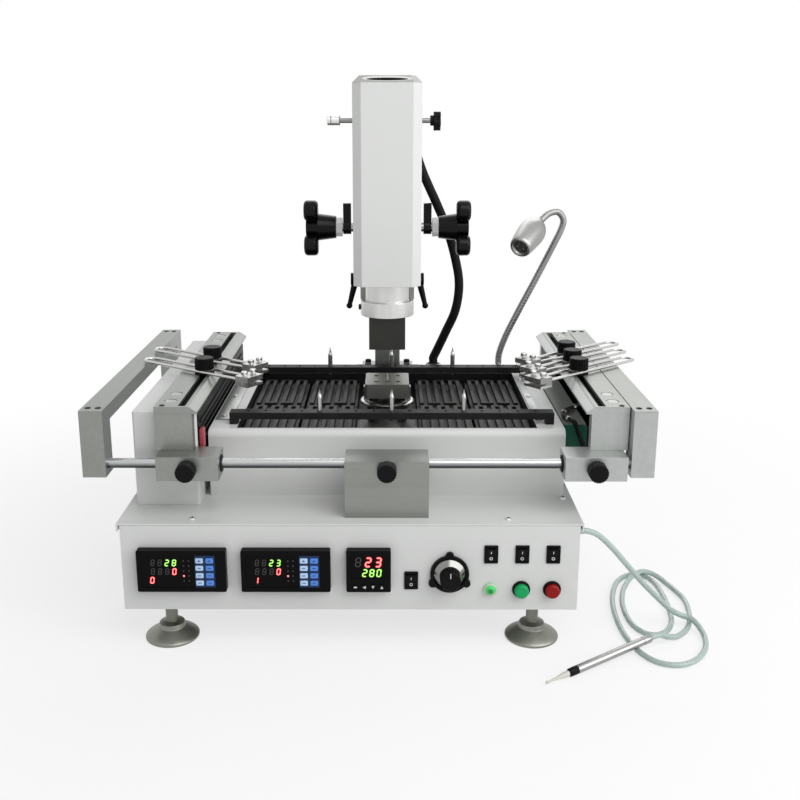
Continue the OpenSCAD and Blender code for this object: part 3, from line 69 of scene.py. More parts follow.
# Places that come from the frame
CAB_LO, CAB_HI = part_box("cabinet")
LID_LO, LID_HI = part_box("cabinet_lid")
CAP_LO, CAP_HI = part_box("head_cap")
NOZZLE_LO, NOZZLE_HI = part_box("hot_air_nozzle")
METERS_LO, METERS_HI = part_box("panel_meters")
FRAMES_LO, FRAMES_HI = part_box("end_frames")
RODS_LO, RODS_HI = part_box("guide_rods")
COLUMN_LO, COLUMN_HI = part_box("column")
PANEL_Y = CAB_LO.y
AXIS_X = (NOZZLE_LO.x + NOZZLE_HI.x) / 2
AXIS_Y = (NOZZLE_LO.y + NOZZLE_HI.y) / 2
HEAT_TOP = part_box("rail_front")[0].z
JAW_TOP = FRAMES_HI.z
ROD_RADIUS = (RODS_HI.z - RODS_LO.z) / 2
ROD_YS = RODS_LO.y + ROD_RADIUS, RODS_HI.y - ROD_RADIUS
TILES_LO, TILES_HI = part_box("heater_tiles")
RIDGE_Z = TILES_HI.z - 0.001
BED_MARGIN = Vector((0.006, 0.006, 0.03))
BED_LO, BED_HI = TILES_LO - BED_MARGIN, TILES_HI + BED_MARGIN
BED_HI.z = HEAT_TOP - 0.0004

# Colour of the soot on the heater bed, and how far below the jaws' tops the painted light that makes the right side
# paler is left out
SOOT = (0.008, 0.008, 0.0075)
PLAIN_TOP_DEPTH = 0.0007

# Routes of the hose, the fan's lead, the lamp's stem and the vacuum tube, in millimetres
HOSE_ROUTE = [
    (24, 42.6, 356), (24, 50, 356), (24, 60, 356), (26, 86, 345), (31, 111, 320), (45, 120, 276),
    (65, 120, 232), (79, 120, 199), (90, 119, 162), (96, 119, 126), (92, 123, 90), (80, 133, 58),
    (69, 144, 30), (64, 148, 18), (64, 148, 14), (64, 148, 10),
]
FAN_LEAD = [
    (40, 84, -22), (38.5, 82, -12), (35, 77, -1), (30, 71, 3.6), (25, 64, 3.6), (17, 55, 3.5), (9.5, 45, 3.5),
    (5.5, 31, 3.5), (7.5, 17, 3.5), (11, 6, 4), (13, -1, 4), (14.4, -5.7, 1), (16, -7, -5), (19, -6, -12),
    (22.2, -4.4, -19), (24.6, -3.4, -25), (25.2, -1.6, -28),
]
LAMP_ROUTE = [
    (155, 150, 9), (156, 150, 24), (165, 150, 50), (183, 150, 88), (203, 150, 128), (226, 150, 176),
    (235, 150, 196), (237, 149, 209), (229, 147, 219), (216, 143, 217), (204, 138, 207),
]
TUBE_LOW = 3.4
TUBE_POINTS = [
    (3.05, 20, 132), (7, 20, 132), (11, 20, 132), (24, 23, 126), (42, 28, 108), (60, 34, 86), (80, 40, 62),
    (100, 46, 40), (118, 51, 22), (132, 54, 13), (143, 50, 10.5), (149, 36, 6), (149, 16), (142, -6),
    (129, -25), (112, -37), (94, -38), (79, -29), (69, -12), (63, 10), (60, 36), (60, 66), (63, 98),
    (70, 130), (82, 160), (98, 178), (114, 180), (125, 166), (129, 142), (129, 113), (127, 84), (122, 57),
    (112, 36), (98, 26), (85, 30), (76, 46), (73, 70), (75, 100), (82, 130), (92, 154, 4), (103, 168, 8),
    (117, 175, 10.5), (131, 170, 8), (142, 154, 4), (148, 135), (152, 112), (150, 86), (144, 60), (134, 38),
    (120, 22, 4), (107, 14, 7.5), (96, 9, 12.6), (87.4, 4, 13.3), (84, 2, 13),
]
TUBE_ROUTE = [p if len(p) == 3 else (*p, TUBE_LOW) for p in TUBE_POINTS]
PEN_TIP = (-42, -73, 3)
TUBE_STEPS, HOSE_STEPS, LEAD_STEPS, STEM_STEPS = 320, 120, 60, 60

# Segments of a seven-segment digit: middle x and z in half widths and half heights, and if it stands up
SEGMENTS = {
    "a": (0, 1, False), "b": (1, 0.5, True), "c": (1, -0.5, True), "d": (0, -1, False),
    "e": (-1, -0.5, True), "f": (-1, 0.5, True), "g": (0, 0, False),
}
DIGITS = {"0": "abcdef", "1": "bc", "2": "abged", "3": "abgcd", "8": "abcdefg"}


class StationSizes(bpy.types.PropertyGroup):
    """Sizes of the fine pieces."""

    tube_diameter: FloatProperty(
        name="Vacuum tube", description="Diameter of the vacuum tube", default=6.5 * MM, unit="LENGTH")
    hose_diameter: FloatProperty(
        name="Air hose", description="Diameter of the hose to the head", default=12 * MM, unit="LENGTH")
    stem_diameter: FloatProperty(
        name="Lamp stem", description="Diameter of the lamp's flexible stem", default=9 * MM, unit="LENGTH")
    stem_pitch: FloatProperty(
        name="Stem rings", description="Distance between the rings of the stem", default=2.6 * MM, unit="LENGTH")
    bullet_diameter: FloatProperty(
        name="Lamp head", description="Diameter of the lamp's bullet head", default=36 * MM, unit="LENGTH")
    bullet_length: FloatProperty(
        name="Lamp head length", description="Length of the lamp's bullet head", default=68 * MM, unit="LENGTH")
    meter_out: FloatProperty(
        name="Meter bezel", description="How far the meter bezels stand out", default=9 * MM, unit="LENGTH")
    controller_pitch: FloatProperty(
        name="Controller pitch", description="Distance between the controllers", default=112 * MM, unit="LENGTH")
    digit_height: FloatProperty(
        name="Digit height", description="Height of the controllers' digits", default=6.6 * MM, unit="LENGTH")
    screw_diameter: FloatProperty(
        name="Lid screws", description="Head diameter of the lid's screws", default=7 * MM, unit="LENGTH")
    seal_diameter: FloatProperty(
        name="Rod seals", description="Outer diameter of the seals on the rods", default=19 * MM, unit="LENGTH")


class StationColours(bpy.types.PropertyGroup):
    """Colours of the finishes, as linear values."""

    paint: FloatVectorProperty(
        name="Paint", description="White powder coat", default=(0.63, 0.64, 0.63), subtype="COLOR")
    aluminium: FloatVectorProperty(
        name="Aluminium", description="Anodised aluminium", default=(0.262, 0.275, 0.255), subtype="COLOR")
    # Painted light: a lighter copy of the aluminium, blended in towards the right in place of light from the right.
    right_lit_aluminium: FloatVectorProperty(
        name="Pale aluminium", description="Anodised aluminium with less wear", default=(0.44, 0.455, 0.445),
        subtype="COLOR")
    steel: FloatVectorProperty(
        name="Steel", description="Ground steel", default=(0.42, 0.42, 0.41), subtype="COLOR")
    black: FloatVectorProperty(
        name="Black", description="Black plastic", default=(0.004, 0.004, 0.0042), subtype="COLOR")
    rail: FloatVectorProperty(
        name="Rails", description="Black anodised rails", default=(0.006, 0.006, 0.0062), subtype="COLOR")
    ceramic: FloatVectorProperty(
        name="Heaters", description="Dark heater ceramic", default=(0.005, 0.0048, 0.0046), subtype="COLOR")
    start: FloatVectorProperty(
        name="Start", description="Green button", default=(0.008, 0.33, 0.1), subtype="COLOR")
    stop: FloatVectorProperty(
        name="Stop", description="Red button", default=(0.24, 0.004, 0.003), subtype="COLOR")
    keypad: FloatVectorProperty(
        name="Keypad", description="Blue keypad of the controllers", default=(0.006, 0.022, 0.09), subtype="COLOR")
    tube: FloatVectorProperty(
        name="Tube", description="Soft clear tube", default=(0.47, 0.57, 0.54), subtype="COLOR")


class Sock:
    """An output socket of a finish; arithmetic on it adds Math nodes."""

    def __init__(self, finish, socket):
        self.finish = finish
        self.socket = socket

    def math(self, operation, first, second):
        return self.finish.node("ShaderNodeMath", {"operation": operation}, {0: first, 1: second})

    def __add__(self, other):
        return self.math("ADD", self, other)

    __radd__ = __add__

    def __sub__(self, other):
        return self.math("SUBTRACT", self, other)

    def __rsub__(self, other):
        return self.math("SUBTRACT", other, self)

    def __mul__(self, other):
        return self.math("MULTIPLY", self, other)

    __rmul__ = __mul__

    def __gt__(self, other):
        return self.math("GREATER_THAN", self, other)

    def __lt__(self, other):
        return self.math("LESS_THAN", self, other)


class Tree:
    """A node tree that is filled node by node."""

    def __init__(self, owner):
        owner.use_nodes = True
        self.tree = owner.node_tree
        self.tree.nodes.clear()

    def feed(self, socket, value):
        if isinstance(value, Sock):
            self.tree.links.new(value.socket, socket)
        elif socket.type == "RGBA" and len(value) == 3:
            socket.default_value = (*value, 1.0)
        else:
            socket.default_value = value

    def node(self, kind, settings=None, inputs=None, output=0):
        made = self.tree.nodes.new(kind)
        for key, value in (settings or {}).items():
            setattr(made, key, value)
        for key, value in (inputs or {}).items():
            self.feed(made.inputs[key], value)
        return Sock(self, made.outputs[output])

    def seen_directly(self):
        """One for rays from the camera, from mirrors and through glass, nothing for scattered light."""
        path = self.tree.nodes.new("ShaderNodeLightPath")
        camera, mirror, glass = [
            Sock(self, path.outputs[f"Is {kind} Ray"]) for kind in ("Camera", "Glossy", "Transmission")]
        return self.node("ShaderNodeClamp", None, {"Value": camera + mirror + glass})


class Finish(Tree):
    """A material with one shader."""

    def __init__(self, name):
        self.material = bpy.data.materials.new(name)
        super().__init__(self.material)
        self.output = self.tree.nodes.new("ShaderNodeOutputMaterial")
        self.shader = self.tree.nodes.new("ShaderNodeBsdfPrincipled")
        self.shaded = Sock(self, self.shader.outputs[0])
        self.show(self.shaded)

    def show(self, shader):
        self.feed(self.output.inputs[0], shader)

    def surface(self, sockets):
        for key, value in sockets.items():
            self.feed(self.shader.inputs[key], value)
        return self.material

    def place(self, stretch=(1, 1, 1)):
        where = self.node("ShaderNodeTexCoord", output=3)
        return self.node("ShaderNodeMapping", None, {"Vector": where, "Scale": stretch})

    def noise(self, scale, detail=2.0, stretch=(1, 1, 1)):
        inputs = {"Vector": self.place(stretch), "Scale": scale, "Detail": detail}
        return self.node("ShaderNodeTexNoise", None, inputs)

    def cells(self, scale, stretch=(1, 1, 1)):
        return self.node("ShaderNodeTexVoronoi", None, {"Vector": self.place(stretch), "Scale": scale})

    def coordinate(self, axis):
        """The place along x, y or z, for axis 0, 1 or 2."""
        return self.node("ShaderNodeSeparateXYZ", None, {0: self.place()}, axis)

    def distance(self, vector):
        return self.node("ShaderNodeVectorMath", {"operation": "LENGTH"}, {0: vector}, "Value")

    def ramp(self, value, low, high):
        """A smooth rise from 0 at the low value to 1 at the high one."""
        return self.node("ShaderNodeMapRange", {"interpolation_type": "SMOOTHSTEP"}, {
            "Value": value, "From Min": low, "From Max": high})

    def mix(self, factor, first, second):
        return self.node("ShaderNodeMix", {"data_type": "RGBA"}, {0: factor, 6: first, 7: second}, 2)

    def bump(self, height, distance):
        return self.node("ShaderNodeBump", None, {"Strength": 1.0, "Distance": distance, "Height": height})

    def shades(self, colour, spread, factor):
        return self.mix(factor, scaled(colour, 1 - spread), scaled(colour, 1 + spread))


def scaled(colour, factor):
    """A colour made darker or lighter."""
    return tuple(min(1.0, c * factor) for c in colour)


def middle(name):
    """Middle of a node's box, and half its size."""
    low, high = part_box(name)
    return (low + high) / 2, (high - low) / 2


def powder_coat(name, colour, bed=None):
    """White paint with a fine orange peel and faint handling marks; the heater bed in it is sooty black."""
    finish = Finish(name)
    cloud = finish.noise(7, 4)
    peel = finish.noise(1500, 2)
    marks = finish.noise(60, 5)
    coat = finish.shades(colour, 0.035, cloud)
    if bed:
        low, high = bed
        sooty = 1.0
        for axis in range(3):
            where = finish.coordinate(axis)
            sooty = sooty * (where > low[axis]) * (where < high[axis])
        coat = finish.mix(sooty, coat, SOOT)
    return finish.surface({
        "Base Color": coat,
        "Roughness": 0.3 + 0.12 * cloud + 0.08 * marks,
        "Normal": finish.bump(peel + 0.6 * marks, 0.00006),
        "Specular IOR Level": 0.45,
    })


def machined(name, colour, along, roughness=0.36, paler=None):
    """Metal with fine cutter lines along one axis; if told so, painted light makes it paler towards the right, but not
    at the jaws' top height.
    """
    finish = Finish(name)
    stretch = tuple(0.02 if axis == along else 1.0 for axis in "xyz")
    lines = finish.noise(2600, 3, stretch)
    broad = finish.noise(180, 2, stretch)
    cloud = finish.noise(14, 3)
    tone = 0.5 * lines + 0.3 * broad + 0.2 * cloud
    shade = finish.shades(colour, 0.3, tone)
    # Painted light: lighter towards the right, left out on the faces at the jaws' top height.
    if paler:
        side = finish.ramp(finish.coordinate(0), FRAMES_LO.x, FRAMES_HI.x)
        plain_top = finish.coordinate(2) > JAW_TOP - PLAIN_TOP_DEPTH
        shade = finish.mix(side - side * plain_top, shade, finish.shades(paler, 0.3, tone))
    return finish.surface({
        "Base Color": shade,
        "Metallic": 0.85,
        "Roughness": roughness + 0.16 * (lines - 0.5) + 0.1 * (cloud - 0.5),
        "Normal": finish.bump(lines + 0.5 * broad, 0.00005),
    })


def ground_rod(name, colour):
    """Ground steel rod, bright along its top and darker below as painted shade."""
    finish = Finish(name)
    low, thick = RODS_LO.z, RODS_HI.z - RODS_LO.z
    height = finish.ramp(finish.coordinate(2), low + 0.25 * thick, low + 0.8 * thick)
    lines = finish.noise(2600, 3, (0.02, 1.0, 1.0))
    # Painted shade: the darker colour for the rod's lower side.
    shaded_underside = scaled(colour, 0.12)
    return finish.surface({
        "Base Color": finish.mix(height, shaded_underside, finish.shades(colour, 0.15, lines)),
        "Metallic": 0.9,
        "Roughness": 0.2 + 0.1 * lines,
    })


def polished(name, colour, roughness):
    """Bright metal with hairline scratches."""
    finish = Finish(name)
    hair = finish.noise(900, 4)
    cloud = finish.noise(40, 3)
    return finish.surface({
        "Base Color": finish.shades(colour, 0.06, cloud),
        "Metallic": 1.0,
        "Roughness": roughness + 0.08 * cloud + 0.05 * hair,
        "Normal": finish.bump(hair, 0.00001),
    })


def moulded(name, colour, roughness=0.42, grain=900, specular=0.5):
    """Moulded plastic with a fine leathery grain."""
    finish = Finish(name)
    cloud = finish.noise(30, 3)
    return finish.surface({
        "Base Color": finish.shades(colour, 0.2, cloud),
        "Roughness": roughness + 0.12 * (cloud - 0.5),
        "Normal": finish.bump(finish.cells(grain), 0.00005),
        "Specular IOR Level": specular,
    })


def glossy(name, colour, roughness=0.14, coat=0.6, specular=0.5):
    """Shiny plastic under a clear coat, with dull smears."""
    finish = Finish(name)
    smear = finish.noise(45, 4)
    ripple = finish.noise(160, 2)
    return finish.surface({
        "Base Color": finish.shades(colour, 0.12, smear),
        "Roughness": roughness + 0.14 * smear,
        "Normal": finish.bump(ripple, 0.00004),
        "Coat Weight": coat,
        "Coat Roughness": 0.08,
        "Specular IOR Level": specular,
    })


def black_anodised(name, colour):
    """Dark metal, paler where dust and wear lie on it."""
    finish = Finish(name)
    dust = finish.noise(55, 6)
    fine = finish.noise(1300, 2)
    pale = tuple(c * 3 + 0.008 for c in colour)
    return finish.surface({
        "Base Color": finish.mix(dust * dust, colour, pale),
        "Metallic": 0.2,
        "Roughness": 0.42 + 0.2 * dust,
        "Specular IOR Level": 0.16,
        "Normal": finish.bump(fine, 0.00004),
    })


def heater_ceramic(name, colour):
    """Matt ceramic with a sandy skin, greyer in patches from heat, and with painted highlights that make the ridges'
    tops lighter.
    """
    finish = Finish(name)
    patch = finish.noise(26, 4)
    sand = finish.noise(1600, 3)
    # Painted highlight: the ridges' tops are lighter, more so in patches.
    lit_ridge = (finish.coordinate(2) > RIDGE_Z) * (0.35 + 0.65 * patch)
    ash, ridge_highlight = scaled(colour, 2.6), scaled(colour, 7)
    return finish.surface({
        "Base Color": finish.mix(lit_ridge, finish.mix(patch * sand, colour, ash), ridge_highlight),
        "Roughness": 0.5 + 0.25 * (sand - 0.5),
        "Specular IOR Level": 0.16,
        "Normal": finish.bump(sand, 0.00025),
    })


def scorched_steel(name, colour):
    """Dark satin steel with brown patches from heat."""
    finish = Finish(name)
    patch = finish.noise(34, 4)
    lines = finish.noise(1500, 2, (1.0, 1.0, 0.03))
    brown = (colour[0] * 1.35, colour[1] * 1.2, colour[2])
    return finish.surface({
        "Base Color": finish.mix(patch, colour, brown),
        "Metallic": 0.7,
        "Roughness": 0.38 + 0.14 * patch,
        "Normal": finish.bump(lines, 0.00005),
    })


def woven_rubber(name, colour):
    """Black hose rubber with a fine woven skin."""
    finish = Finish(name)
    dust = finish.noise(70, 4)
    return finish.surface({
        "Base Color": finish.shades(colour, 0.4, dust),
        "Roughness": 0.5 + 0.15 * dust,
        "Specular IOR Level": 0.12,
        "Normal": finish.bump(finish.cells(900, (1, 1, 0.5)), 0.0002),
    })


def clear_tube(name, colour):
    """Soft clear tube, faintly green, with a milky wall."""
    finish = Finish(name)
    milk = finish.noise(120, 3)
    return finish.surface({
        "Base Color": finish.shades(colour, 0.05, milk),
        "Roughness": 0.16 + 0.14 * milk,
        "Normal": finish.bump(milk, 0.00008),
        "Transmission Weight": 0.35,
        "IOR": 1.42,
        "Coat Weight": 0.4,
    })


def lit(name, colour, strength):
    """Glowing segment with a slightly uneven light."""
    finish = Finish(name)
    uneven = finish.noise(700, 2)
    return finish.surface({
        "Base Color": finish.shades(colour, 0.1, uneven),
        "Roughness": 0.3,
        "Emission Color": finish.shades(colour, 0.12, uneven),
        "Emission Strength": strength,
    })


def lit_lens(name, colour, strength):
    """Glowing lens of the pilot lamp, with its darker bulb in the middle."""
    finish = Finish(name)
    mid, half = middle("pilot_lamp")
    flat = finish.node("ShaderNodeVectorMath", {"operation": "SUBTRACT"}, {
        0: finish.place((1, 0, 1)), 1: (mid.x, 0, mid.z)})
    rim = finish.ramp(finish.distance(flat), 0.0006, 0.84 * half.x)
    glow = finish.mix(rim, scaled(colour, 0.22), colour)
    return finish.surface({
        "Base Color": glow,
        "Roughness": 0.24 + 0.1 * finish.noise(700, 2),
        "Emission Color": glow,
        "Emission Strength": strength,
        "Specular IOR Level": 0.25,
    })


def honeycomb(name, colour):
    """Heater core with rows of small holes, whose darkness is painted shade."""
    finish = Finish(name)
    cells = finish.cells(330, (1, 1, 0))
    return finish.surface({
        # Painted shade: the holes are dark spots in the olive colour.
        "Base Color": finish.mix(cells * 1.6, scaled(colour, 0.25), colour),
        "Roughness": 0.55 + 0.2 * cells,
        "Normal": finish.bump(cells * 60, 0.0001),
    })


FINISHES = {}


def finish(key):
    """The material for a finish's key; each is made once."""
    if key not in FINISHES:
        FINISHES[key] = FINISH_MAKERS[key](bpy.context.scene.station_colours)
    return FINISHES[key]


FINISH_MAKERS = {
    "paint": lambda c: powder_coat("powder_coat", c.paint),
    "bed_paint": lambda c: powder_coat("housing_coat", c.paint, (BED_LO, BED_HI)),
    "aluminium_x": lambda c: machined("aluminium_across", c.aluminium, "x"),
    # Painted light: this aluminium is painted lighter towards the right.
    "aluminium_y": lambda c: machined("aluminium_along_lit_right", c.aluminium, "y", 0.36, c.right_lit_aluminium),
    "aluminium_z": lambda c: machined("aluminium_upright", c.aluminium, "z"),
    "turned_aluminium": lambda c: machined("aluminium_turned", (0.62, 0.62, 0.61), "z", 0.3),
    "rod": lambda c: ground_rod("ground_rod", (0.5, 0.52, 0.52)),
    "steel": lambda c: polished("bright_steel", c.steel, 0.2),
    "cast_steel": lambda c: polished("brushed_feet", (0.24, 0.245, 0.215), 0.34),
    "chrome": lambda c: polished("chrome", (0.78, 0.78, 0.76), 0.06),
    "spot": lambda c: polished("spot_face", (0.37, 0.375, 0.36), 0.3),
    "skirt": lambda c: polished("skirt_chrome", (0.24, 0.24, 0.23), 0.08),
    "stem": lambda c: polished("stem_steel", (0.27, 0.27, 0.265), 0.22),
    "pen": lambda c: polished("pen_steel", (0.36, 0.36, 0.355), 0.2),
    "satin": lambda c: polished("satin_shell", (0.42, 0.42, 0.41), 0.3),
    "bullet": lambda c: polished("lamp_shell", (0.34, 0.345, 0.335), 0.28),
    "nickel": lambda c: polished("nickel", (0.72, 0.72, 0.7), 0.24),
    "rail": lambda c: black_anodised("black_rail", c.rail),
    "ceramic": lambda c: heater_ceramic("heater_ceramic", c.ceramic),
    "scorched": lambda c: scorched_steel("nozzle_steel", (0.026, 0.028, 0.027)),
    "black": lambda c: moulded("black_plastic", c.black, 0.42, 900, 0.1),
    "black_gloss": lambda c: glossy("black_gloss", (0.003, 0.003, 0.003), 0.16, 0.06, 0.12),
    "bezel": lambda c: glossy("meter_bezel", (0.002, 0.002, 0.002), 0.3, 0.0, 0.08),
    "window": lambda c: glossy("display_window", (0.0015, 0.0015, 0.002), 0.06, 0.0, 0.08),
    "start": lambda c: glossy("start_green", c.start, 0.22, 0.06, 0.14),
    "stop": lambda c: glossy("stop_red", c.stop, 0.22, 0.06, 0.14),
    "plug": lambda c: moulded("plug_red", (0.36, 0.055, 0.075), 0.34, 700, 0.2),
    "pilot": lambda c: lit_lens("pilot_green", (0.06, 0.6, 0.14), 0.35),
    "keypad": lambda c: moulded("keypad_blue", c.keypad, 0.35, 900, 0.3),
    "key_0": lambda c: moulded("key_pale_blue", (0.4, 0.58, 0.82), 0.3),
    "key_1": lambda c: moulded("key_blue", (0.06, 0.22, 0.68), 0.3),
    "hose": lambda c: woven_rubber("hose_rubber", (0.007, 0.007, 0.007)),
    "tube": lambda c: clear_tube("clear_tube", c.tube),
    "green_digit": lambda c: lit("green_digit", (0.4, 0.9, 0.14), 1.2),
    "red_digit": lambda c: lit("red_digit", (1.0, 0.13, 0.13), 3.2),
    "green_digit_glow": lambda c: lit("green_glow", (0.03, 0.11, 0.01), 0.7),
    "red_digit_glow": lambda c: lit("red_glow", (0.3, 0.006, 0.01), 0.9),
    "ghost": lambda c: moulded("unlit_digit", (0.03, 0.028, 0.026), 0.3),
    "white_mark": lambda c: moulded("white_mark", (0.62, 0.62, 0.62), 0.5),
    "dark_print_and_painted_shade": lambda c: moulded("dark_print_and_painted_shade", (0.003, 0.003, 0.003), 0.7, 900, 0.1),
    # Dark for the dial's printed ticks, and painted shade for slots, screw recesses and the vent.
    "core": lambda c: honeycomb("olive_core", (0.16, 0.15, 0.06)),
    "lens": lambda c: glossy("lamp_lens", (0.055, 0.058, 0.05), 0.2, 0.0, 0.3),
    "pale_tip": lambda c: moulded("pale_tip", (0.55, 0.54, 0.5), 0.35),
    "hood": lambda c: machined("hood_steel", (0.2, 0.2, 0.185), "x", 0.34),
    "fan": lambda c: moulded("fan_green", (0.006, 0.08, 0.046), 0.4, 900, 0.2),
    "seal": lambda c: moulded("seal_rubber", (0.006, 0.006, 0.006), 0.55, 900, 0.15),
    "clip": lambda c: polished("bright_clip", (0.54, 0.54, 0.53), 0.2),
}


def piece(name, bm, body, key, angle=35):
    """Turns a bmesh into a piece that rides on a body."""
    bmesh.ops.remove_doubles(bm, verts=bm.verts, dist=JOIN)
    bmesh.ops.recalc_face_normals(bm, faces=bm.faces)
    mesh = bpy.data.meshes.new(name)
    bm.to_mesh(mesh)
    bm.free()
    mesh.materials.append(finish(key))
    mesh.polygons.foreach_set("use_smooth", [True] * len(mesh.polygons))
    mesh.set_sharp_from_angle(angle=math.radians(angle))
    made = bpy.data.objects.new(name, mesh)
    bpy.context.scene.collection.objects.link(made)
    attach(made, body)
    return made


def facing(axis, start=UP):
    """Turn that brings the start's way to the axis."""
    return start.rotation_difference(Vector(axis)).to_matrix().to_4x4()


def pour(bm, other, matrix):
    """Moves one bmesh by a matrix and adds it to another."""
    bmesh.ops.transform(other, matrix=matrix, verts=other.verts)
    scratch = bpy.data.meshes.new("scratch")
    other.to_mesh(scratch)
    other.free()
    bm.from_mesh(scratch)
    bpy.data.meshes.remove(scratch)


def extrude(bm, face, way):
    """Pulls a face out along a way."""
    grown = bmesh.ops.extrude_face_region(bm, geom=[face])["geom"]
    bmesh.ops.translate(bm, verts=[v for v in grown if isinstance(v, bmesh.types.BMVert)], vec=way)


def top_face(bm):
    """The face whose middle is highest."""
    return max(bm.faces, key=lambda face: face.calc_center_median().z)


def soften(bm, offset, segments=2, edges=None):
    """Rounds the edges, or all of them if none are given."""
    bmesh.ops.bevel(
        bm, geom=edges or list(bm.edges), offset=offset, segments=segments, profile=0.5, affect="EDGES",
        clamp_overlap=True, material=-1)


def block(bm, mid, size, turn=Matrix()):
    """Box of a size about its middle."""
    bmesh.ops.create_cube(bm, size=1, matrix=Matrix.Translation(mid) @ turn @ Matrix.Diagonal((*size, 1)))


def plate(bm, points, place, thickness):
    """Flat plate with the outline given in x and z, facing the user at place; it grows towards the user."""
    corners = [bm.verts.new(place + Vector((x, 0, z))) for x, z in points]
    extrude(bm, bm.faces.new(corners), FRONT * thickness)


def plate_piece(name, points, place, thickness, body, key):
    """A single plate as a piece."""
    bm = bmesh.new()
    plate(bm, points, place, thickness)
    return piece(name, bm, body, key)


def rounded(width, height, radius, steps=5):
    """Outline of a rectangle about the middle with round corners."""
    corners = ((1, 1, 0), (-1, 1, 90), (-1, -1, 180), (1, -1, 270))
    points = []
    for sx, sz, start in corners:
        for i in range(steps + 1):
            a = math.radians(start + 90 * i / steps)
            x = sx * (width / 2 - radius) + radius * math.cos(a)
            points.append((x, sz * (height / 2 - radius) + radius * math.sin(a)))
    return points


def turned(bm, profile, place, axis, steps=48):
    """Spins a profile of radius and height about an axis through place."""
    spin = bmesh.new()
    line = [spin.verts.new((r, 0, h)) for r, h in profile]
    edges = [spin.edges.new(pair) for pair in zip(line, line[1:])]
    bmesh.ops.spin(
        spin, geom=line + edges, cent=(0, 0, 0), axis=UP, angle=math.tau, steps=steps, use_merge=True)
    bmesh.ops.remove_doubles(spin, verts=spin.verts, dist=JOIN)
    pour(bm, spin, Matrix.Translation(place) @ facing(axis))


def turned_piece(name, profile, place, axis, body, key, steps=48, angle=35):
    """A single turned profile as a piece."""
    bm = bmesh.new()
    turned(bm, profile, place, axis, steps)
    return piece(name, bm, body, key, angle)


def ring(bm, inner, outer, low, high, place, axis, steps=24):
    """Square-edged ring between two radii and two heights."""
    turned(bm, [(inner, low), (outer, low), (outer, high), (inner, high), (inner, low)], place, axis, steps)


def socket_screw(bm, place, axis, radius, height):
    """Cap screw with a chamfered head and a hexagon socket."""
    top = Matrix.Translation(place) @ facing(axis) @ Matrix.Translation((0, 0, height))
    chamfer, rim, socket = 0.15 * radius, 0.62 * radius, 0.5 * radius
    turned(bm, [
        (0, 0), (radius, 0), (radius, height - chamfer), (radius - chamfer, height), (rim, height),
    ], place, axis, 24)
    round_loop = bmesh.ops.create_circle(bm, segments=24, radius=rim, matrix=top)["verts"]
    hexagon = bmesh.ops.create_circle(bm, segments=6, radius=socket, matrix=top)["verts"]
    loops = {e for v in round_loop + hexagon for e in v.link_edges}
    bmesh.ops.bridge_loops(bm, edges=list(loops))
    floor = bm.faces.new(hexagon)
    extrude(bm, floor, Vector(axis) * (-0.55 * height))
    bmesh.ops.delete(bm, geom=[floor], context="FACES_ONLY")


def curve_points(route, count):
    """Points on a smooth curve through the route's points."""
    points = [Vector(p) for p in route]
    last = len(points) - 1
    out = []
    for k in range(count):
        t = k * last / (count - 1)
        i = min(int(t), last - 1)
        u = t - i
        p0, p1, p2, p3 = points[max(i - 1, 0)], points[i], points[i + 1], points[min(i + 2, last)]
        out.append(0.5 * (
            2 * p1 + (p2 - p0) * u + (2 * p0 - 5 * p1 + 4 * p2 - p3) * u ** 2
            + (3 * p1 - p0 - 3 * p2 + p3) * u ** 3))
    return out


def length_of(points):
    """Length of the way from point to point."""
    return sum((b - a).length for a, b in zip(points, points[1:]))


def tube_curve(name, points, diameter, radii=None):
    """Round tube along the points, as a curve of one spline."""
    curve = bpy.data.curves.new(name, "CURVE")
    curve.dimensions = "3D"
    curve.bevel_depth = diameter / 2
    curve.bevel_resolution = 5
    curve.use_fill_caps = True
    spline = curve.splines.new("POLY")
    spline.points.add(len(points) - 1)
    for i, p in enumerate(points):
        spline.points[i].co = (*p, 1)
        spline.points[i].radius = radii[i] if radii else 1.0
    spline.use_smooth = True
    made = bpy.data.objects.new(name, curve)
    bpy.context.scene.collection.objects.link(made)
    return made


def tube_mesh(name, points, diameter, key, radii=None):
    """The same tube as a mesh piece."""
    drawn = tube_curve(name, points, diameter, radii)
    bpy.context.view_layer.update()
    mesh = bpy.data.meshes.new_from_object(drawn.evaluated_get(bpy.context.evaluated_depsgraph_get()))
    curve = drawn.data
    bpy.data.objects.remove(drawn)
    bpy.data.curves.remove(curve)
    mesh.polygons.foreach_set("use_smooth", [True] * len(mesh.polygons))
    mesh.materials.clear()
    mesh.materials.append(finish(key))
    made = bpy.data.objects.new(name, mesh)
    bpy.context.scene.collection.objects.link(made)
    return made


def from_corner(p):
    """A point given in millimetres from the cabinet's front right edge on the bench."""
    return Vector((CAB_HI.x + p[0] * MM, PANEL_Y + p[1] * MM, p[2] * MM))


def from_axis(p):
    """A point given in millimetres from the nozzle axis, at the preheater's top."""
    return Vector((AXIS_X + p[0] * MM, AXIS_Y + p[1] * MM, HEAT_TOP + p[2] * MM))


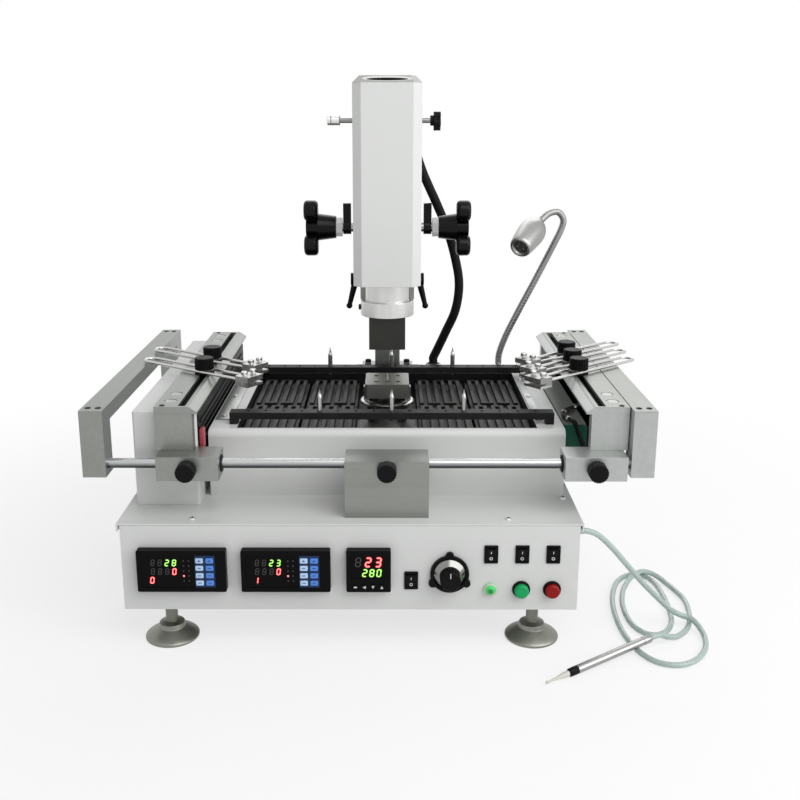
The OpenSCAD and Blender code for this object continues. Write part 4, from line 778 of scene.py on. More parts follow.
class STATION_OT_cords(bpy.types.Operator):
    """Makes the vacuum tube with its pen and the hose to the head."""

    bl_idname = "station.cords"
    bl_label = "Cords and pen"

    def execute(self, context):
        sizes = context.scene.station_sizes
        pen = self.make_pen()
        self.make_tube(sizes, pen)
        self.make_hose(sizes)
        return {"FINISHED"}

    def make_pen(self):
        rear, tip = from_corner(TUBE_ROUTE[-1]), from_corner(PEN_TIP)
        way = tip - rear
        length = way.length
        profiles = {
            ("pen_barrel", "pen"): [
                (0, 0.0003), (0.0036, 0.0003), (0.0047, 0.003), (0.0047, 0.012), (0.0042, 0.0125), (0.0042, 0.015),
                (0.0047, 0.0155), (0.0047, 0.72 * length), (0.0033, 0.722 * length), (0, 0.722 * length),
            ],
            ("pen_collar", "black"): [
                (0, 0.7225 * length), (0.0044, 0.7225 * length), (0.0046, 0.735 * length), (0.0044, 0.79 * length),
                (0.0035, 0.8 * length), (0, 0.8 * length),
            ],
            ("pen_tip", "pale_tip"): [
                (0, 0.8005 * length), (0.0031, 0.8005 * length), (0.0028, 0.85 * length), (0.0016, 0.9 * length),
                (0.0011, 0.97 * length), (0.0015, 0.985 * length), (0.0015, length), (0, length),
            ],
        }
        made = [
            turned_piece(name, profile, rear, way.normalized(), "base", key)
            for (name, key), profile in profiles.items()]
        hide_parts("vacuum_pen")
        return made

    def make_tube(self, sizes, pen):
        points = [from_corner(p) for p in curve_points(TUBE_ROUTE, TUBE_STEPS)]
        tube = tube_curve("clear_vacuum_tube", points, sizes.tube_diameter)
        tube.data.materials.append(finish("tube"))
        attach(tube, "base")
        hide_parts("vacuum_tube")
        length_of(points)

    def make_hose(self, sizes):
        points = [from_axis(p) for p in curve_points(HOSE_ROUTE, HOSE_STEPS)]
        hose = tube_mesh("rubber_hose", points, sizes.hose_diameter, "hose")
        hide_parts("air_hose")
        length_of(points)
        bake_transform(hose)
        bore = sizes.hose_diameter / 2 + 0.0002
        turned_piece("hose_gland", [
            (bore, 0.0095), (0.0085, 0.0095), (0.0105, 0.008), (0.0112, 0.0045), (0.0112, 0.0002), (bore, 0.0002),
            (bore, 0.0095),
        ], from_axis((*HOSE_ROUTE[-1][:2], 0)), UP, "base", "black", 32)
        turned_piece("head_hose_boot", [
            (bore, 0.016), (0.0068, 0.016), (0.0085, 0.002), (0.0088, 0.0), (bore, 0.0), (bore, 0.016),
        ], from_axis(HOSE_ROUTE[0]) - Vector((0, 0.0005, 0)), BACK, "head", "black", 32)


class STATION_OT_meters(bpy.types.Operator):
    """Makes the displays and keypads of the panel meters."""

    bl_idname = "station.meters"
    bl_label = "Panel meters"

    HALF_HEIGHT = 0.024
    GLASS_IN, GLASS = 0.001, 0.0004
    DIGITS_IN = GLASS_IN - GLASS

    def execute(self, context):
        sizes = context.scene.station_sizes
        self.face = PANEL_Y - sizes.meter_out
        mid_z = (METERS_LO.z + METERS_HI.z) / 2
        first, second = METERS_LO.x, METERS_LO.x + sizes.controller_pitch
        self.controller("upper", first, mid_z, ("28", "0", "0"), sizes.digit_height)
        self.controller("lower", second, mid_z, ("23", "0", "1"), sizes.digit_height)
        self.infrared(Vector((METERS_HI.x - (METERS_HI.z - METERS_LO.z) / 2, 0, mid_z)))
        return {"FINISHED"}

    def digits(self, bm, text, right, z, height, pitch, y, thick=0.065):
        """A row of digits that ends at the right, one pitch apart."""
        for i, char in enumerate(reversed(text)):
            if char != " ":
                self.digit(bm, char, right - i * pitch, z, height, y, thick)

    def digit(self, bm, char, x, z, height, y, thick):
        half_w, half_h = 0.25 * height, 0.5 * height
        half_t, gap, slant = thick * height, (0.085 - thick) * height, 0.12
        for key in DIGITS[char]:
            mx, mz, upright = SEGMENTS[key]
            reach = (half_h / 2 if upright else half_w) - gap
            outline = [
                (-reach, 0), (half_t - reach, -half_t), (reach - half_t, -half_t), (reach, 0),
                (reach - half_t, half_t), (half_t - reach, half_t),
            ]
            if upright:
                outline = [(b, -a) for a, b in outline]
            upright_points = [(mx * half_w + a, mz * half_h + b) for a, b in outline]
            plate(bm, [(a + slant * b, b) for a, b in upright_points], Vector((x, y, z)), 0.0001)

    def screen(self, name, rows, y):
        """Lit digits, and dark ones behind the places that aren't lit."""
        ghosts = bmesh.new()
        lit_rows = {}
        for key, text, places, right, z, height, pitch in rows:
            lit_bm = lit_rows.setdefault(key, bmesh.new())
            self.digits(lit_bm, text, right, z, height, pitch, y - 0.0002)
            glow = lit_rows.setdefault(f"{key}_glow", bmesh.new())
            self.digits(glow, text, right, z, height, pitch, y, 0.15)
            self.digits(ghosts, ("8" * (places - len(text))) + " " * len(text), right, z, height, pitch, y)
        for key, bm in lit_rows.items():
            piece(f"{name}_{key}", bm, "base", key)
        piece(f"{name}_unlit", ghosts, "base", "ghost")

    def window(self, name, width, height, x, z):
        at = Vector((x, self.face + self.GLASS_IN, z))
        plate_piece(name, rounded(width, height, 0.001), at, self.GLASS, "base", "window")

    def controller(self, name, left, mid_z, reading, height):
        """Window with three rows of digits and small lamps, and a keypad of eight keys."""
        top, y = mid_z + self.HALF_HEIGHT, self.face + self.DIGITS_IN
        self.window(f"{name}_window", 0.0576, 0.0376, left + 0.034, mid_z)
        pitch, right = 0.0077, left + 0.0405
        self.screen(f"{name}_digits", [
            ("green_digit", reading[0], 4, right, top - 0.0142, height, pitch),
            ("red_digit", reading[1], 4, right, top - 0.0243, height, pitch),
            ("red_digit", reading[2], 1, left + 0.0162, top - 0.0345, height, pitch),
        ], y)
        lamps_x = left + 0.0505
        lamps = bmesh.new()
        for col in range(2):
            for row in range(5):
                at = Vector((lamps_x + 0.0055 * col, y, top - 0.012 - 0.0058 * row))
                plate(lamps, rounded(0.0016, 0.0016, 0.0007), at, 0.0001)
        piece(f"{name}_lamps_unlit", lamps, "base", "ghost")
        at = Vector((lamps_x, y - 0.0001, top - 0.0294))
        plate_piece(f"{name}_alarm", rounded(0.0018, 0.0018, 0.0008), at, 0.0001, "base", "red_digit")
        at = Vector((left + 0.0735, self.face, mid_z))
        plate_piece(f"{name}_keypad", rounded(0.0215, 0.0365, 0.001), at, 0.0005, "base", "keypad")
        self.keys(name, Vector((left + 0.0677, self.face - 0.0005, mid_z + 0.0129)))

    def keys(self, name, first):
        """Two columns of four keys below the first place, an arrow on the upper ones and a bar on the others."""
        thick = 0.0009
        marks = bmesh.new()
        bar = rounded(0.0034, 0.0007, 0.0003, 2)
        arrow = [(-0.0014, -0.001), (0.0014, -0.001), (0, 0.0012)]
        for col in range(2):
            keys = bmesh.new()
            for row in range(4):
                at = first + Vector((0.0110 * col, 0, -0.0086 * row))
                plate(keys, rounded(0.0084, 0.006, 0.0012), at, thick)
                plate(marks, bar if row else arrow, at + FRONT * thick, 0.00008)
            rims = [e for e in keys.edges if len(e.link_faces) == 2 and e.calc_face_angle() > 1]
            soften(keys, 0.0003, 2, rims)
            piece(f"{name}_keys_{col}", keys, "base", f"key_{col}")
        piece(f"{name}_key_signs", marks, "base", "keypad")

    def infrared(self, mid):
        """Small window with two rows of digits over a row of four marked keys."""
        left, top = mid.x - self.HALF_HEIGHT, mid.z + self.HALF_HEIGHT
        self.window("infrared_window", 0.0376, 0.0256, mid.x, mid.z + 0.005)
        self.screen("infrared_digits", [
            ("red_digit", "23", 3, left + 0.0345, top - 0.0133, 0.0098, 0.0108),
            ("green_digit", "280", 3, left + 0.0352, top - 0.0258, 0.0078, 0.0076),
        ], self.face + self.DIGITS_IN)
        signs = bmesh.new()
        size = 0.0017
        shapes = (
            rounded(0.0036, 0.0016, 0.0006),
            [(size, -size), (size, size), (-size, 0)],
            [(-size, size), (0, -size), (size, size)],
            [(-size, -size), (size, -size), (0, size)],
        )
        for i, shape in enumerate(shapes):
            at = Vector((mid.x + (i - 1.5) * 0.0095, self.face - 0.0008, mid.z - 0.018))
            plate(signs, shape, at, 0.0001)
        piece("infrared_key_signs", signs, "base", "white_mark")


class STATION_OT_switches(bpy.types.Operator):
    """Marks the rockers, the dial and the buttons."""

    bl_idname = "station.switches"
    bl_label = "Switches and dial"

    def execute(self, context):
        for name in ("panel", "vacuum", "cooling", "light"):
            self.rocker_marks(name)
        self.dial()
        self.button_rings()
        return {"FINISHED"}

    def rocker_marks(self, name):
        """A bar on the upper half and a ring on the lower half of a rocker."""
        mid, half = middle(f"rocker_{name}")
        tilt, face_out, thick = math.radians(8), 0.0042, 0.00006
        bm = bmesh.new()
        plate(bm, rounded(0.0008, 0.0034, 0.0003, 2), Vector((0, 0, 0.45 * half.z)), thick)
        ring(bm, 0.0011, 0.0018, 0, thick, Vector((0, 0, -0.5 * half.z)), FRONT)
        pivot = Matrix.Translation((mid.x, PANEL_Y + 0.003, mid.z)) @ Matrix.Rotation(tilt, 4, "X")
        for half_sign in (1, -1):
            verts = [v for v in bm.verts if v.co.z * half_sign > 0]
            slope = Matrix.Rotation(half_sign * tilt, 4, "X")
            bmesh.ops.transform(bm, matrix=pivot @ Matrix.Translation(FRONT * face_out) @ slope, verts=verts)
        piece(f"rocker_{name}_marks", bm, f"{name}_rocker", "white_mark")

    def dial(self):
        """A white pointer line on the knob and ticks on its skirt."""
        mid, half = middle("airflow_knob")
        at = mid + Vector((0, -half.y, 0.62 * half.x))
        plate_piece("dial_pointer", rounded(0.0009, 0.55 * half.x, 0.0004, 2), at, 0.0002, "dial", "white_mark")
        rim = middle("airflow_skirt")[1].x
        place = Matrix.Translation((mid.x, PANEL_Y, mid.z))
        out = Matrix.Translation((0, -0.0052, 0.86 * rim)) @ Matrix.Rotation(math.radians(-51), 4, "X")
        ticks = bmesh.new()
        for i in range(11):
            tick = bmesh.new()
            long = 0.0032 if i % 5 == 0 else 0.0022
            plate(tick, rounded(0.0005, long, 0.0002, 2), Vector(), 0.0002)
            pour(ticks, tick, place @ Matrix.Rotation(math.radians(-150 + 30 * i), 4, "Y") @ out)
        piece("dial_ticks", ticks, "dial", "dark_print_and_painted_shade")

    def button_rings(self):
        """A raised black guard round each button and a pale ring round the pilot lamp."""
        for name in ("start", "stop"):
            mid, half = middle(f"{name}_button")
            bore = half.x + 0.00025
            rim, edge, low, high = bore + 0.0013, 0.0004, 0.0014, 0.0037
            turned_piece(f"{name}_guard", [
                (bore, low), (rim, low), (rim, high - 0.0005), (rim - edge, high), (bore + edge, high),
                (bore, high - 0.0005), (bore, low),
            ], Vector((mid.x, PANEL_Y, mid.z)), FRONT, "base", "black")
        mid = middle("pilot_lamp")[0]
        bore, rim, low, high = 0.0056, 0.0074, 0.0015, 0.0031
        turned_piece("pilot_ring", [
            (bore, low), (rim, low), (rim, 0.0024), (0.0066, high), (bore, high), (bore, low),
        ], Vector((mid.x, PANEL_Y, mid.z)), FRONT, "base", "pale_tip")


class STATION_OT_fasteners(bpy.types.Operator):
    """Makes the screws of the lid, the table, the column's foot and the back."""

    bl_idname = "station.fasteners"
    bl_label = "Fasteners"

    def execute(self, context):
        radius = context.scene.station_sizes.screw_diameter / 2
        self.lid_screws(radius)
        self.frame_bolts()
        self.jaw_bolts()
        self.column_bolts()
        self.rear_screws(radius)
        return {"FINISHED"}

    def pan_screw(self, heads, recess_shades, place, axis, radius):
        """Domed head with a cross recess drawn as a sunk dark cross of painted shade."""
        turned(heads, [
            (0, 0), (radius, 0), (0.94 * radius, 0.3 * radius), (0.7 * radius, 0.5 * radius), (0, 0.56 * radius),
        ], place, axis, 24)
        # Painted shade: the dark cross stands in for the recess.
        cross = bmesh.new()
        arm, half = 0.55 * radius, 0.11 * radius
        outline = [
            (half, half), (half, arm), (-half, arm), (-half, half), (-arm, half), (-arm, -half),
            (-half, -half), (-half, -arm), (half, -arm), (half, -half), (arm, -half), (arm, half),
        ]
        plate(cross, outline, FRONT * (0.5 * radius), 0.1 * radius)
        pour(recess_shades, cross, Matrix.Translation(place) @ facing(axis, FRONT))

    def screw_group(self, name, places, axis, radius, key="nickel"):
        heads, recess_shades = bmesh.new(), bmesh.new()
        for place in places:
            self.pan_screw(heads, recess_shades, Vector(place), axis, radius)
        piece(name, heads, "base", key)
        piece(f"{name}_slots", recess_shades, "base", "dark_print_and_painted_shade")

    def lid_screws(self, radius):
        top = LID_HI.z
        inset_x, inset_y = 0.08, 0.014
        places = [
            (x, y, top)
            for x in (LID_LO.x + inset_x, LID_HI.x - inset_x)
            for y in (LID_LO.y + inset_y, LID_HI.y - inset_y)
        ]
        places.append((LID_HI.x - 0.011, PANEL_Y + 0.076, top))
        self.screw_group("lid_screws", places, UP, radius)

    def frame_bolts(self):
        """Cap screws sunk in the end frames' holes, with a washer round each hole."""
        bm = bmesh.new()
        width, apart, bore = 0.0255, 0.0055, 0.00245
        for x_mid in (FRAMES_LO.x + width / 2, FRAMES_HI.x - width / 2):
            for y in ROD_YS:
                for x in (x_mid - apart, x_mid + apart):
                    socket_screw(bm, Vector((x, y, JAW_TOP - 0.006)), UP, 0.0024, 0.0054)
                    ring(bm, bore, 0.0034, 0.00005, 0.0003, Vector((x, y, JAW_TOP)), UP)
        piece("frame_bolts", bm, "carriage", "black")

    def jaw_bolts(self):
        """A countersunk screw at each end of a jaw's plate."""
        inset = 0.01
        for side, sign in (("left", 1), ("right", -1)):
            low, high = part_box(f"jaw_{side}")
            outer = low.x if sign > 0 else high.x
            bm = bmesh.new()
            for y in (ROD_YS[0] + inset, ROD_YS[1] - inset):
                socket_screw(bm, Vector((outer + sign * 0.008, y, JAW_TOP - 0.0002)), UP, 0.0032, 0.0007)
            piece(f"jaw_{side}_bolts", bm, f"{side}_jaw", "black")

    def column_bolts(self):
        bm = bmesh.new()
        inset = 0.008
        for x in (COLUMN_LO.x + inset, COLUMN_HI.x - inset):
            for y in (COLUMN_LO.y + inset, COLUMN_HI.y - inset):
                socket_screw(bm, Vector((x, y, HEAT_TOP + 0.008)), UP, 0.0042, 0.004)
        piece("column_bolts", bm, "base", "black")

    def rear_screws(self, radius):
        """Screws and pins of the mains inlet."""
        mid, half = middle("mains_inlet")
        inset, back = 0.0055, CAB_HI.y
        places = [(x, back + 0.003, mid.z) for x in (mid.x - half.x + inset, mid.x + half.x - inset)]
        self.screw_group("inlet_screws", places, BACK, 0.7 * radius, "black")
        pins = bmesh.new()
        for x, z in ((0, 0.003), (-0.006, -0.003), (0.006, -0.003)):
            block(pins, (mid.x + x, back - 0.001, mid.z + z), (0.002, 0.012, 0.005))
        soften(pins, 0.0004)
        piece("inlet_pins", pins, "base", "nickel")


class STATION_OT_table(bpy.types.Operator):
    """Makes the rod seals, the trim of the jaws' plates and the thumb screws of the fingers' clips."""

    bl_idname = "station.table"
    bl_label = "Board table"

    def execute(self, context):
        radius = context.scene.station_sizes.seal_diameter / 2
        for side in ("left", "right"):
            self.seals(side, radius)
            self.plate_trim(side)
        for side, count, angle in (("left", 2, -35), ("right", 3, 220)):
            for i in range(1, count + 1):
                self.clip_screws(f"{side}_{i}", f"{side}_finger_{i}", angle)
        return {"FINISHED"}

    def seals(self, side, radius):
        """Black wiper rings where the rods leave a jaw's sliders."""
        low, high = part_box(f"jaw_{side}")
        bore, lip, margin = ROD_RADIUS + 0.0001, 0.0018, 0.0045
        ends = (low.x + margin, high.x) if side == "left" else (low.x, high.x - margin)
        bm = bmesh.new()
        for y in ROD_YS:
            for x, way in zip(ends, (-1, 1)):
                turned(bm, [
                    (bore, 0), (radius, 0), (radius, 0.6 * lip), (0.8 * radius, lip), (bore, lip), (bore, 0),
                ], Vector((x, y, (RODS_LO.z + RODS_HI.z) / 2)), (way, 0, 0), 32)
        piece(f"jaw_{side}_seals", bm, f"{side}_jaw", "seal")

    def plate_trim(self, side):
        """Dark floor of a jaw's slot, painted shade in the slot, and bright spot faces along its outer edge."""
        low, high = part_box(f"jaw_{side}")
        way, outer = (1, low.x) if side == "left" else (-1, high.x)
        slot_end, slot_depth = 0.0095, 0.00695
        front, back = RODS_LO.y + slot_end, RODS_HI.y - slot_end
        # Painted shade: a dark sheet on the slot's floor.
        slot = bmesh.new()
        at = Vector((outer + way * 0.0295, (front + back) / 2, JAW_TOP - slot_depth))
        block(slot, at, (0.0128, back - front - 0.009, 0.0001))
        piece(f"jaw_{side}_slot_shade", slot, f"{side}_jaw", "dark_print_and_painted_shade")
        spots = bmesh.new()
        for y in (front + 0.025, front + 0.055, back - 0.055, back - 0.025):
            turned(spots, [
                (0, 0.0001), (0.0068, 0.0001), (0.006, 0.0006), (0.0045, 0.0003), (0.003, 0.0005), (0, 0.0002),
            ], Vector((outer + way * 0.014, y, JAW_TOP - 0.001)), UP, 32)
        piece(f"jaw_{side}_spot_faces", spots, f"{side}_jaw", "spot")

    def clip_screws(self, name, body, angle):
        """Two thumb screws on a finger's clip."""
        pivot = middle(f"stud_{name}")[0]
        reach, apart, top = 0.073, 0.0075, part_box(f"finger_{name}")[1].z
        place = Matrix.Translation((pivot.x, pivot.y, top)) @ Matrix.Rotation(math.radians(angle), 4, "Z")
        screws = bmesh.new()
        for y in (-apart, apart):
            turned(screws, [
                (0, 0), (0.0022, 0), (0.0022, 0.0012), (0.0038, 0.0015), (0.004, 0.002), (0.004, 0.0048),
                (0.0034, 0.0056), (0.0016, 0.0058), (0, 0.0052),
            ], place @ Vector((reach, y, 0)), UP, 20)
        piece(f"clip_screws_{name}", screws, body, "clip")


class STATION_OT_heaters(bpy.types.Operator):
    """Makes the lower air tube's core and lip, the strips beside the heater bed, the trim of the fan, and a black
    sheet of painted shade on the cover.
    """

    bl_idname = "station.heaters"
    bl_label = "Heaters and their sides"

    def execute(self, context):
        self.air_tube()
        self.side_strips()
        self.cable_tray()
        self.fan_cover()
        self.under_jaw_shade_panel()
        return {"FINISHED"}

    def air_tube(self):
        """Olive core in the lower air tube and its bright lip."""
        low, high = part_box("lower_air_tube")
        axis, top, rim = Vector((AXIS_X, AXIS_Y, 0)), high.z, (high.x - low.x) / 2
        depth = top - 0.012
        turned_piece("heater_core", [
            (0, depth), (0.0225, depth), (0.0228, depth - 0.002), (0, depth - 0.002),
        ], axis, UP, "base", "core")
        turned_piece("heater_lip", [
            (0.0232, top - 0.011), (0.0236, top - 0.001), (0.0262, top + 0.0002), (rim - 0.001, top + 0.0002),
            (rim + 0.0006, top - 0.0008), (rim + 0.0006, top - 0.0038), (rim, top - 0.0042),
            (rim, top - 0.0002), (0.0262, top - 0.0002), (0.0232, top - 0.011),
        ], axis, UP, "base", "chrome", 64)

    def under_jaw_shade_panel(self):
        """Black louvred panel on the tall side cover's inner side, a dark sheet that paints the shade under the left
        jaw, with a red plug at its front.
        """
        low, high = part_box("side_cover")
        thick, margin, pitch = 0.0012, 0.004, 0.008
        front, back = low.y + margin, high.y - margin
        bottom, top = HEAT_TOP - 0.05, high.z - margin
        panel = bmesh.new()
        mid = Vector((high.x + thick / 2 + 0.0001, (front + back) / 2, (bottom + top) / 2))
        # Painted shade: this black sheet darkens the space under the left jaw.
        block(panel, mid, (thick, back - front, top - bottom))
        lean = Matrix.Rotation(math.radians(30), 4, "Y")
        for i in range(int((top - bottom - 2 * margin) / pitch)):
            at = Vector((mid.x + 0.001, mid.y, bottom + 2 * margin + i * pitch))
            block(panel, at, (0.0008, back - front - 0.02, 0.004), lean)
        piece("under_jaw_shade_panel", panel, "base", "black")
        plug = bmesh.new()
        block(plug, (high.x + 0.0041, front + 0.006, HEAT_TOP - 0.002), (0.005, 0.012, 0.022))
        soften(plug, 0.0012, 3)
        piece("cover_plug", plug, "base", "plug")

    def fan_cover(self):
        """Grey cover on the cooling fan and the black lead that is clipped to it, from the tray to the fan's front."""
        low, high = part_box("cooling_fan")
        thick, edge, lead_diameter = 0.0009, 0.0012, 0.005
        cover, clips = bmesh.new(), bmesh.new()
        mid = Vector(((low.x + high.x) / 2, (low.y + high.y) / 2, high.z + thick / 2))
        block(cover, mid, (high.x - low.x - 2 * edge, high.y - low.y - 2 * edge, thick))
        bmesh.ops.inset_region(cover, faces=[top_face(cover)], thickness=0.003, depth=-0.0004)
        piece("fan_cover", cover, "base", "aluminium_x")
        corner = Vector((low.x, low.y, high.z))
        points = curve_points([corner + Vector(p) * MM for p in FAN_LEAD], LEAD_STEPS)
        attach(tube_mesh("fan_lead", points, lead_diameter, "black"), "base")
        turned_piece("fan_grommet", [(0, 0), (0.0042, 0), (0.0042, 0.0022), (0.0034, 0.003), (0, 0.003)],
                     corner + Vector((25.2, 0.1, -28)) * MM, FRONT, "base", "black", 24)
        bore, half = lead_diameter / 2 + 0.00005, 0.002
        for i in (16, 24, 31):
            ring(clips, bore, 0.0033, -half, half, points[i], points[i + 1] - points[i - 1])
        piece("lead_clips", clips, "base", "steel")

    def cable_tray(self):
        """Black cable tray with leads in it along the outer side of the cooling fan."""
        low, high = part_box("cooling_fan")
        wide, deep, margin, wall, floor = 0.026, 0.045, 0.003, 0.0015, 0.002
        tray, leads = bmesh.new(), bmesh.new()
        mid = Vector((high.x + wide / 2 + 0.0002, (low.y + high.y) / 2, high.z - margin - deep / 2))
        long = high.y - low.y - 2 * margin
        block(tray, mid, (wide, long, deep))
        top = top_face(tray)
        bmesh.ops.inset_region(tray, faces=[top], thickness=wall)
        extrude(tray, top, UP * (floor - deep))
        bmesh.ops.delete(tray, geom=[top], context="FACES_ONLY")
        piece("cable_tray", tray, "base", "black")
        for i in range(3):
            start = mid + Vector(((i - 1) * 0.006, -0.46 * long, 0.003 - deep / 2 + 0.0024))
            turned(leads, [(0, 0), (0.0026, 0), (0.0026, 0.92 * long), (0, 0.92 * long)], start, BACK, 16)
        piece("tray_leads", leads, "base", "seal")

    def side_strips(self):
        """Thin metal strips with screws beside the heater bed, clear of the feet of the sliding rails."""
        rail_low, rail_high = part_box("rail_front")
        front = rail_high.y + 0.002
        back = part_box("rail_rear")[0].y - 0.002
        rail_foot, thick, clear = 0.009, 0.0012, 0.0008
        strips, screws = bmesh.new(), bmesh.new()
        for left, right in (
            (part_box("preheat_housing")[0].x + 2 * clear, rail_low.x - clear),
            (TILES_HI.x + 0.003, rail_high.x - rail_foot - clear),
        ):
            x, y_mid = (left + right) / 2, (front + back) / 2
            block(strips, (x, y_mid, HEAT_TOP + thick / 2), (right - left, back - front, thick))
            for y in (front + 0.012, y_mid, back - 0.012):
                socket_screw(screws, Vector((x, y, HEAT_TOP + thick)), UP, 0.0028, 0.0016)
        soften(strips, 0.0003)
        piece("bed_strips", strips, "base", "aluminium_y")
        piece("bed_strip_screws", screws, "base", "nickel")


class STATION_OT_head(bpy.types.Operator):
    """Makes the vent in the cap, the nozzle's clamp screw and the sleeve of the cross screw."""

    bl_idname = "station.head"
    bl_label = "Hot-air head"

    def execute(self, context):
        self.vent()
        self.clamp_screw()
        self.thumb_head()
        return {"FINISHED"}

    def thumb_head(self):
        """Bright fluted sleeve on the cross screw's thumb head."""
        mid, half = middle("cross_screw")
        rim, long, end = half.z + 0.0002, 0.0146, 0.0003
        groove = rim - 0.0005
        turned_piece("thumb_sleeve", [
            (0, -end), (rim - 0.001, -end), (rim, 0.0006), (rim, 0.25 * long), (groove, 0.28 * long),
            (groove, 0.33 * long), (rim, 0.36 * long), (rim, long - 0.0008), (rim - 0.0008, long),
            (0.0031, long + 0.0002), (0.0031, 0.0004), (0, 0.0004),
        ], mid - Vector((half.x, 0, 0)), (1, 0, 0), "head_screw", "nickel", 40)

    def vent(self):
        """Dark disc with rings and bars over it in the cap's sunk vent, and its rim over the front bevel; the dark
        disc and a dark lens on the bevel are painted shade in the vent.
        """
        cap = middle("head_cap")[0]
        mid = Vector((cap.x, cap.y, CAP_HI.z))
        slope = Matrix.Translation((cap.x, CAP_LO.y + CAP_HI.z - CAP_LO.z, CAP_HI.z)) @ facing(FRONT + UP, FRONT)
        arc = [math.tau * i / 48 for i in range(48)]
        # Painted shade: the dark lens inside the rim on the bevel.
        for name, key, wide, high, down, lift in (
                ("vent_rim", "chrome", 0.0285, 0.0042, 0.0056, 0.0003),
                ("vent_shade", "dark_print_and_painted_shade", 0.0235, 0.0021, 0.0066, 0.0004)):
            cut = bmesh.new()
            plate(cut, [(wide * math.cos(a), high * math.sin(a) - down) for a in arc], Vector(), lift)
            bmesh.ops.transform(cut, matrix=slope, verts=cut.verts)
            piece(name, cut, "head", key)
        # Painted shade: the dark disc under the grille.
        disc, low, top = 0.0226, -0.0036, -0.0012
        turned_piece("vent_shade_floor", [
            (0, low), (disc, low), (disc, low - 0.0003), (0, low - 0.0003),
        ], mid, UP, "head", "dark_print_and_painted_shade")
        grille = bmesh.new()
        for radius in (0.006, 0.011, 0.016, 0.021):
            ring(grille, radius - 0.0009, radius + 0.0009, low + 0.0001, top, mid, UP, 48)
        for i in range(3):
            spin = Matrix.Rotation(math.radians(60 * i), 4, "Z")
            block(grille, mid - UP * 0.0024, (0.044, 0.0018, 0.002), spin)
        piece("vent_grille", grille, "head", "nickel")

    def clamp_screw(self):
        """Small screw that clamps the nozzle in the flange."""
        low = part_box("head_collar")[0]
        bm = bmesh.new()
        socket_screw(bm, Vector((low.x + 0.0008, AXIS_Y, low.z + 0.009)), (-1, 0, 0), 0.0034, 0.0034)
        piece("nozzle_clamp_screw", bm, "head", "black")


class STATION_OT_lamp(bpy.types.Operator):
    """Makes the work lamp: base, ringed stem, bullet head and lens."""

    bl_idname = "station.lamp"
    bl_label = "Work lamp"

    def execute(self, context):
        sizes = context.scene.station_sizes
        route = curve_points(LAMP_ROUTE, STEM_STEPS)
        length = length_of(route) * MM
        rings, per_ring, groove = int(length / sizes.stem_pitch), 4, 0.96
        points = [from_axis(p) for p in curve_points(LAMP_ROUTE, per_ring * rings + 1)]
        radii = [1.0 if i % per_ring in (0, 1) else groove for i in range(len(points))]
        stem = tube_mesh("lamp_stem", points, sizes.stem_diameter, "stem", radii)
        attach(stem, "base")
        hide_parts("work_lamp")
        turned_piece("lamp_foot", [
            (0, 0), (0.013, 0), (0.013, 0.002), (0.0122, 0.003), (0.0095, 0.0045), (0.0072, 0.0085), (0.0045, 0.009),
            (0, 0.009),
        ], from_axis((*LAMP_ROUTE[0][:2], 0)), UP, "base", "nickel")
        yaw, tilt = math.radians(238), math.radians(115)
        way = Vector((math.sin(tilt) * math.cos(yaw), math.sin(tilt) * math.sin(yaw), math.cos(tilt)))
        self.bullet(points[-1], way, sizes.bullet_diameter / 2, sizes.bullet_length)
        return {"FINISHED"}

    def bullet(self, place, way, radius, length):
        """Egg-shaped shell with a sunk dark lens and a few light-emitting dots."""
        turned_piece("lamp_bullet", [
            (0, 0.0002), (0.0055, 0.0002), (0.0058, 0.003), (0.0068, 0.005), (radius - 0.0085, 0.007),
            (radius - 0.0062, 0.0097), (radius - 0.0042, 0.0127), (radius - 0.0025, 0.0163), (radius - 0.001, 0.021),
            (radius - 0.0002, 0.0255), (radius, 0.03), (radius - 0.0003, 0.037), (radius - 0.001, 0.044),
            (radius - 0.0019, 0.054), (radius - 0.003, length - 0.0055), (radius - 0.0035, length - 0.003),
            (radius - 0.0045, length - 0.001), (radius - 0.006, length), (radius - 0.0075, length - 0.0004),
            (radius - 0.0085, length - 0.002), (radius - 0.0094, length - 0.0036), (0, length - 0.0038),
        ], place, way, "base", "bullet", angle=50)
        turned_piece("lamp_lens", [
            (0, length - 0.0026), (0.005, length - 0.0027), (0.0075, length - 0.0029),
            (radius - 0.0093, length - 0.0031), (0, length - 0.0035),
        ], place, way, "base", "lens")
        front = Matrix.Translation(place) @ facing(way)
        dots = bmesh.new()
        for i in range(5):
            at = front @ Matrix.Rotation(math.radians(72 * i), 4, "Z") @ Vector((0.0045, 0, length - 0.0028))
            turned(dots, [(0, 0.0012), (0.001, 0.0008), (0.0014, 0), (0, 0)], at, way, 12)
        piece("lamp_dots", dots, "base", "stem")


class STATION_OT_feet(bpy.types.Operator):
    """Makes the threads of the levelling feet."""

    bl_idname = "station.feet"
    bl_label = "Levelling feet"

    def execute(self, context):
        low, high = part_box("levelling_feet")
        dish = 0.03
        bm = bmesh.new()
        pitch, start, end, root = 0.0018, 0.0205, 0.0385, 0.0059
        crest = root + 0.0009
        profile = [(0, start), (root, start)]
        for i in range(int((end - start) / pitch)):
            z = start + i * pitch
            profile += [(crest, z + 0.35 * pitch), (crest, z + 0.65 * pitch), (root, z + pitch)]
        profile.append((0, profile[-1][1]))
        for x in (low.x + dish, high.x - dish):
            for y in (low.y + dish, high.y - dish):
                turned(bm, profile, Vector((x, y, 0)), UP, 24)
        piece("foot_threads", bm, "base", "cast_steel")
        return {"FINISHED"}


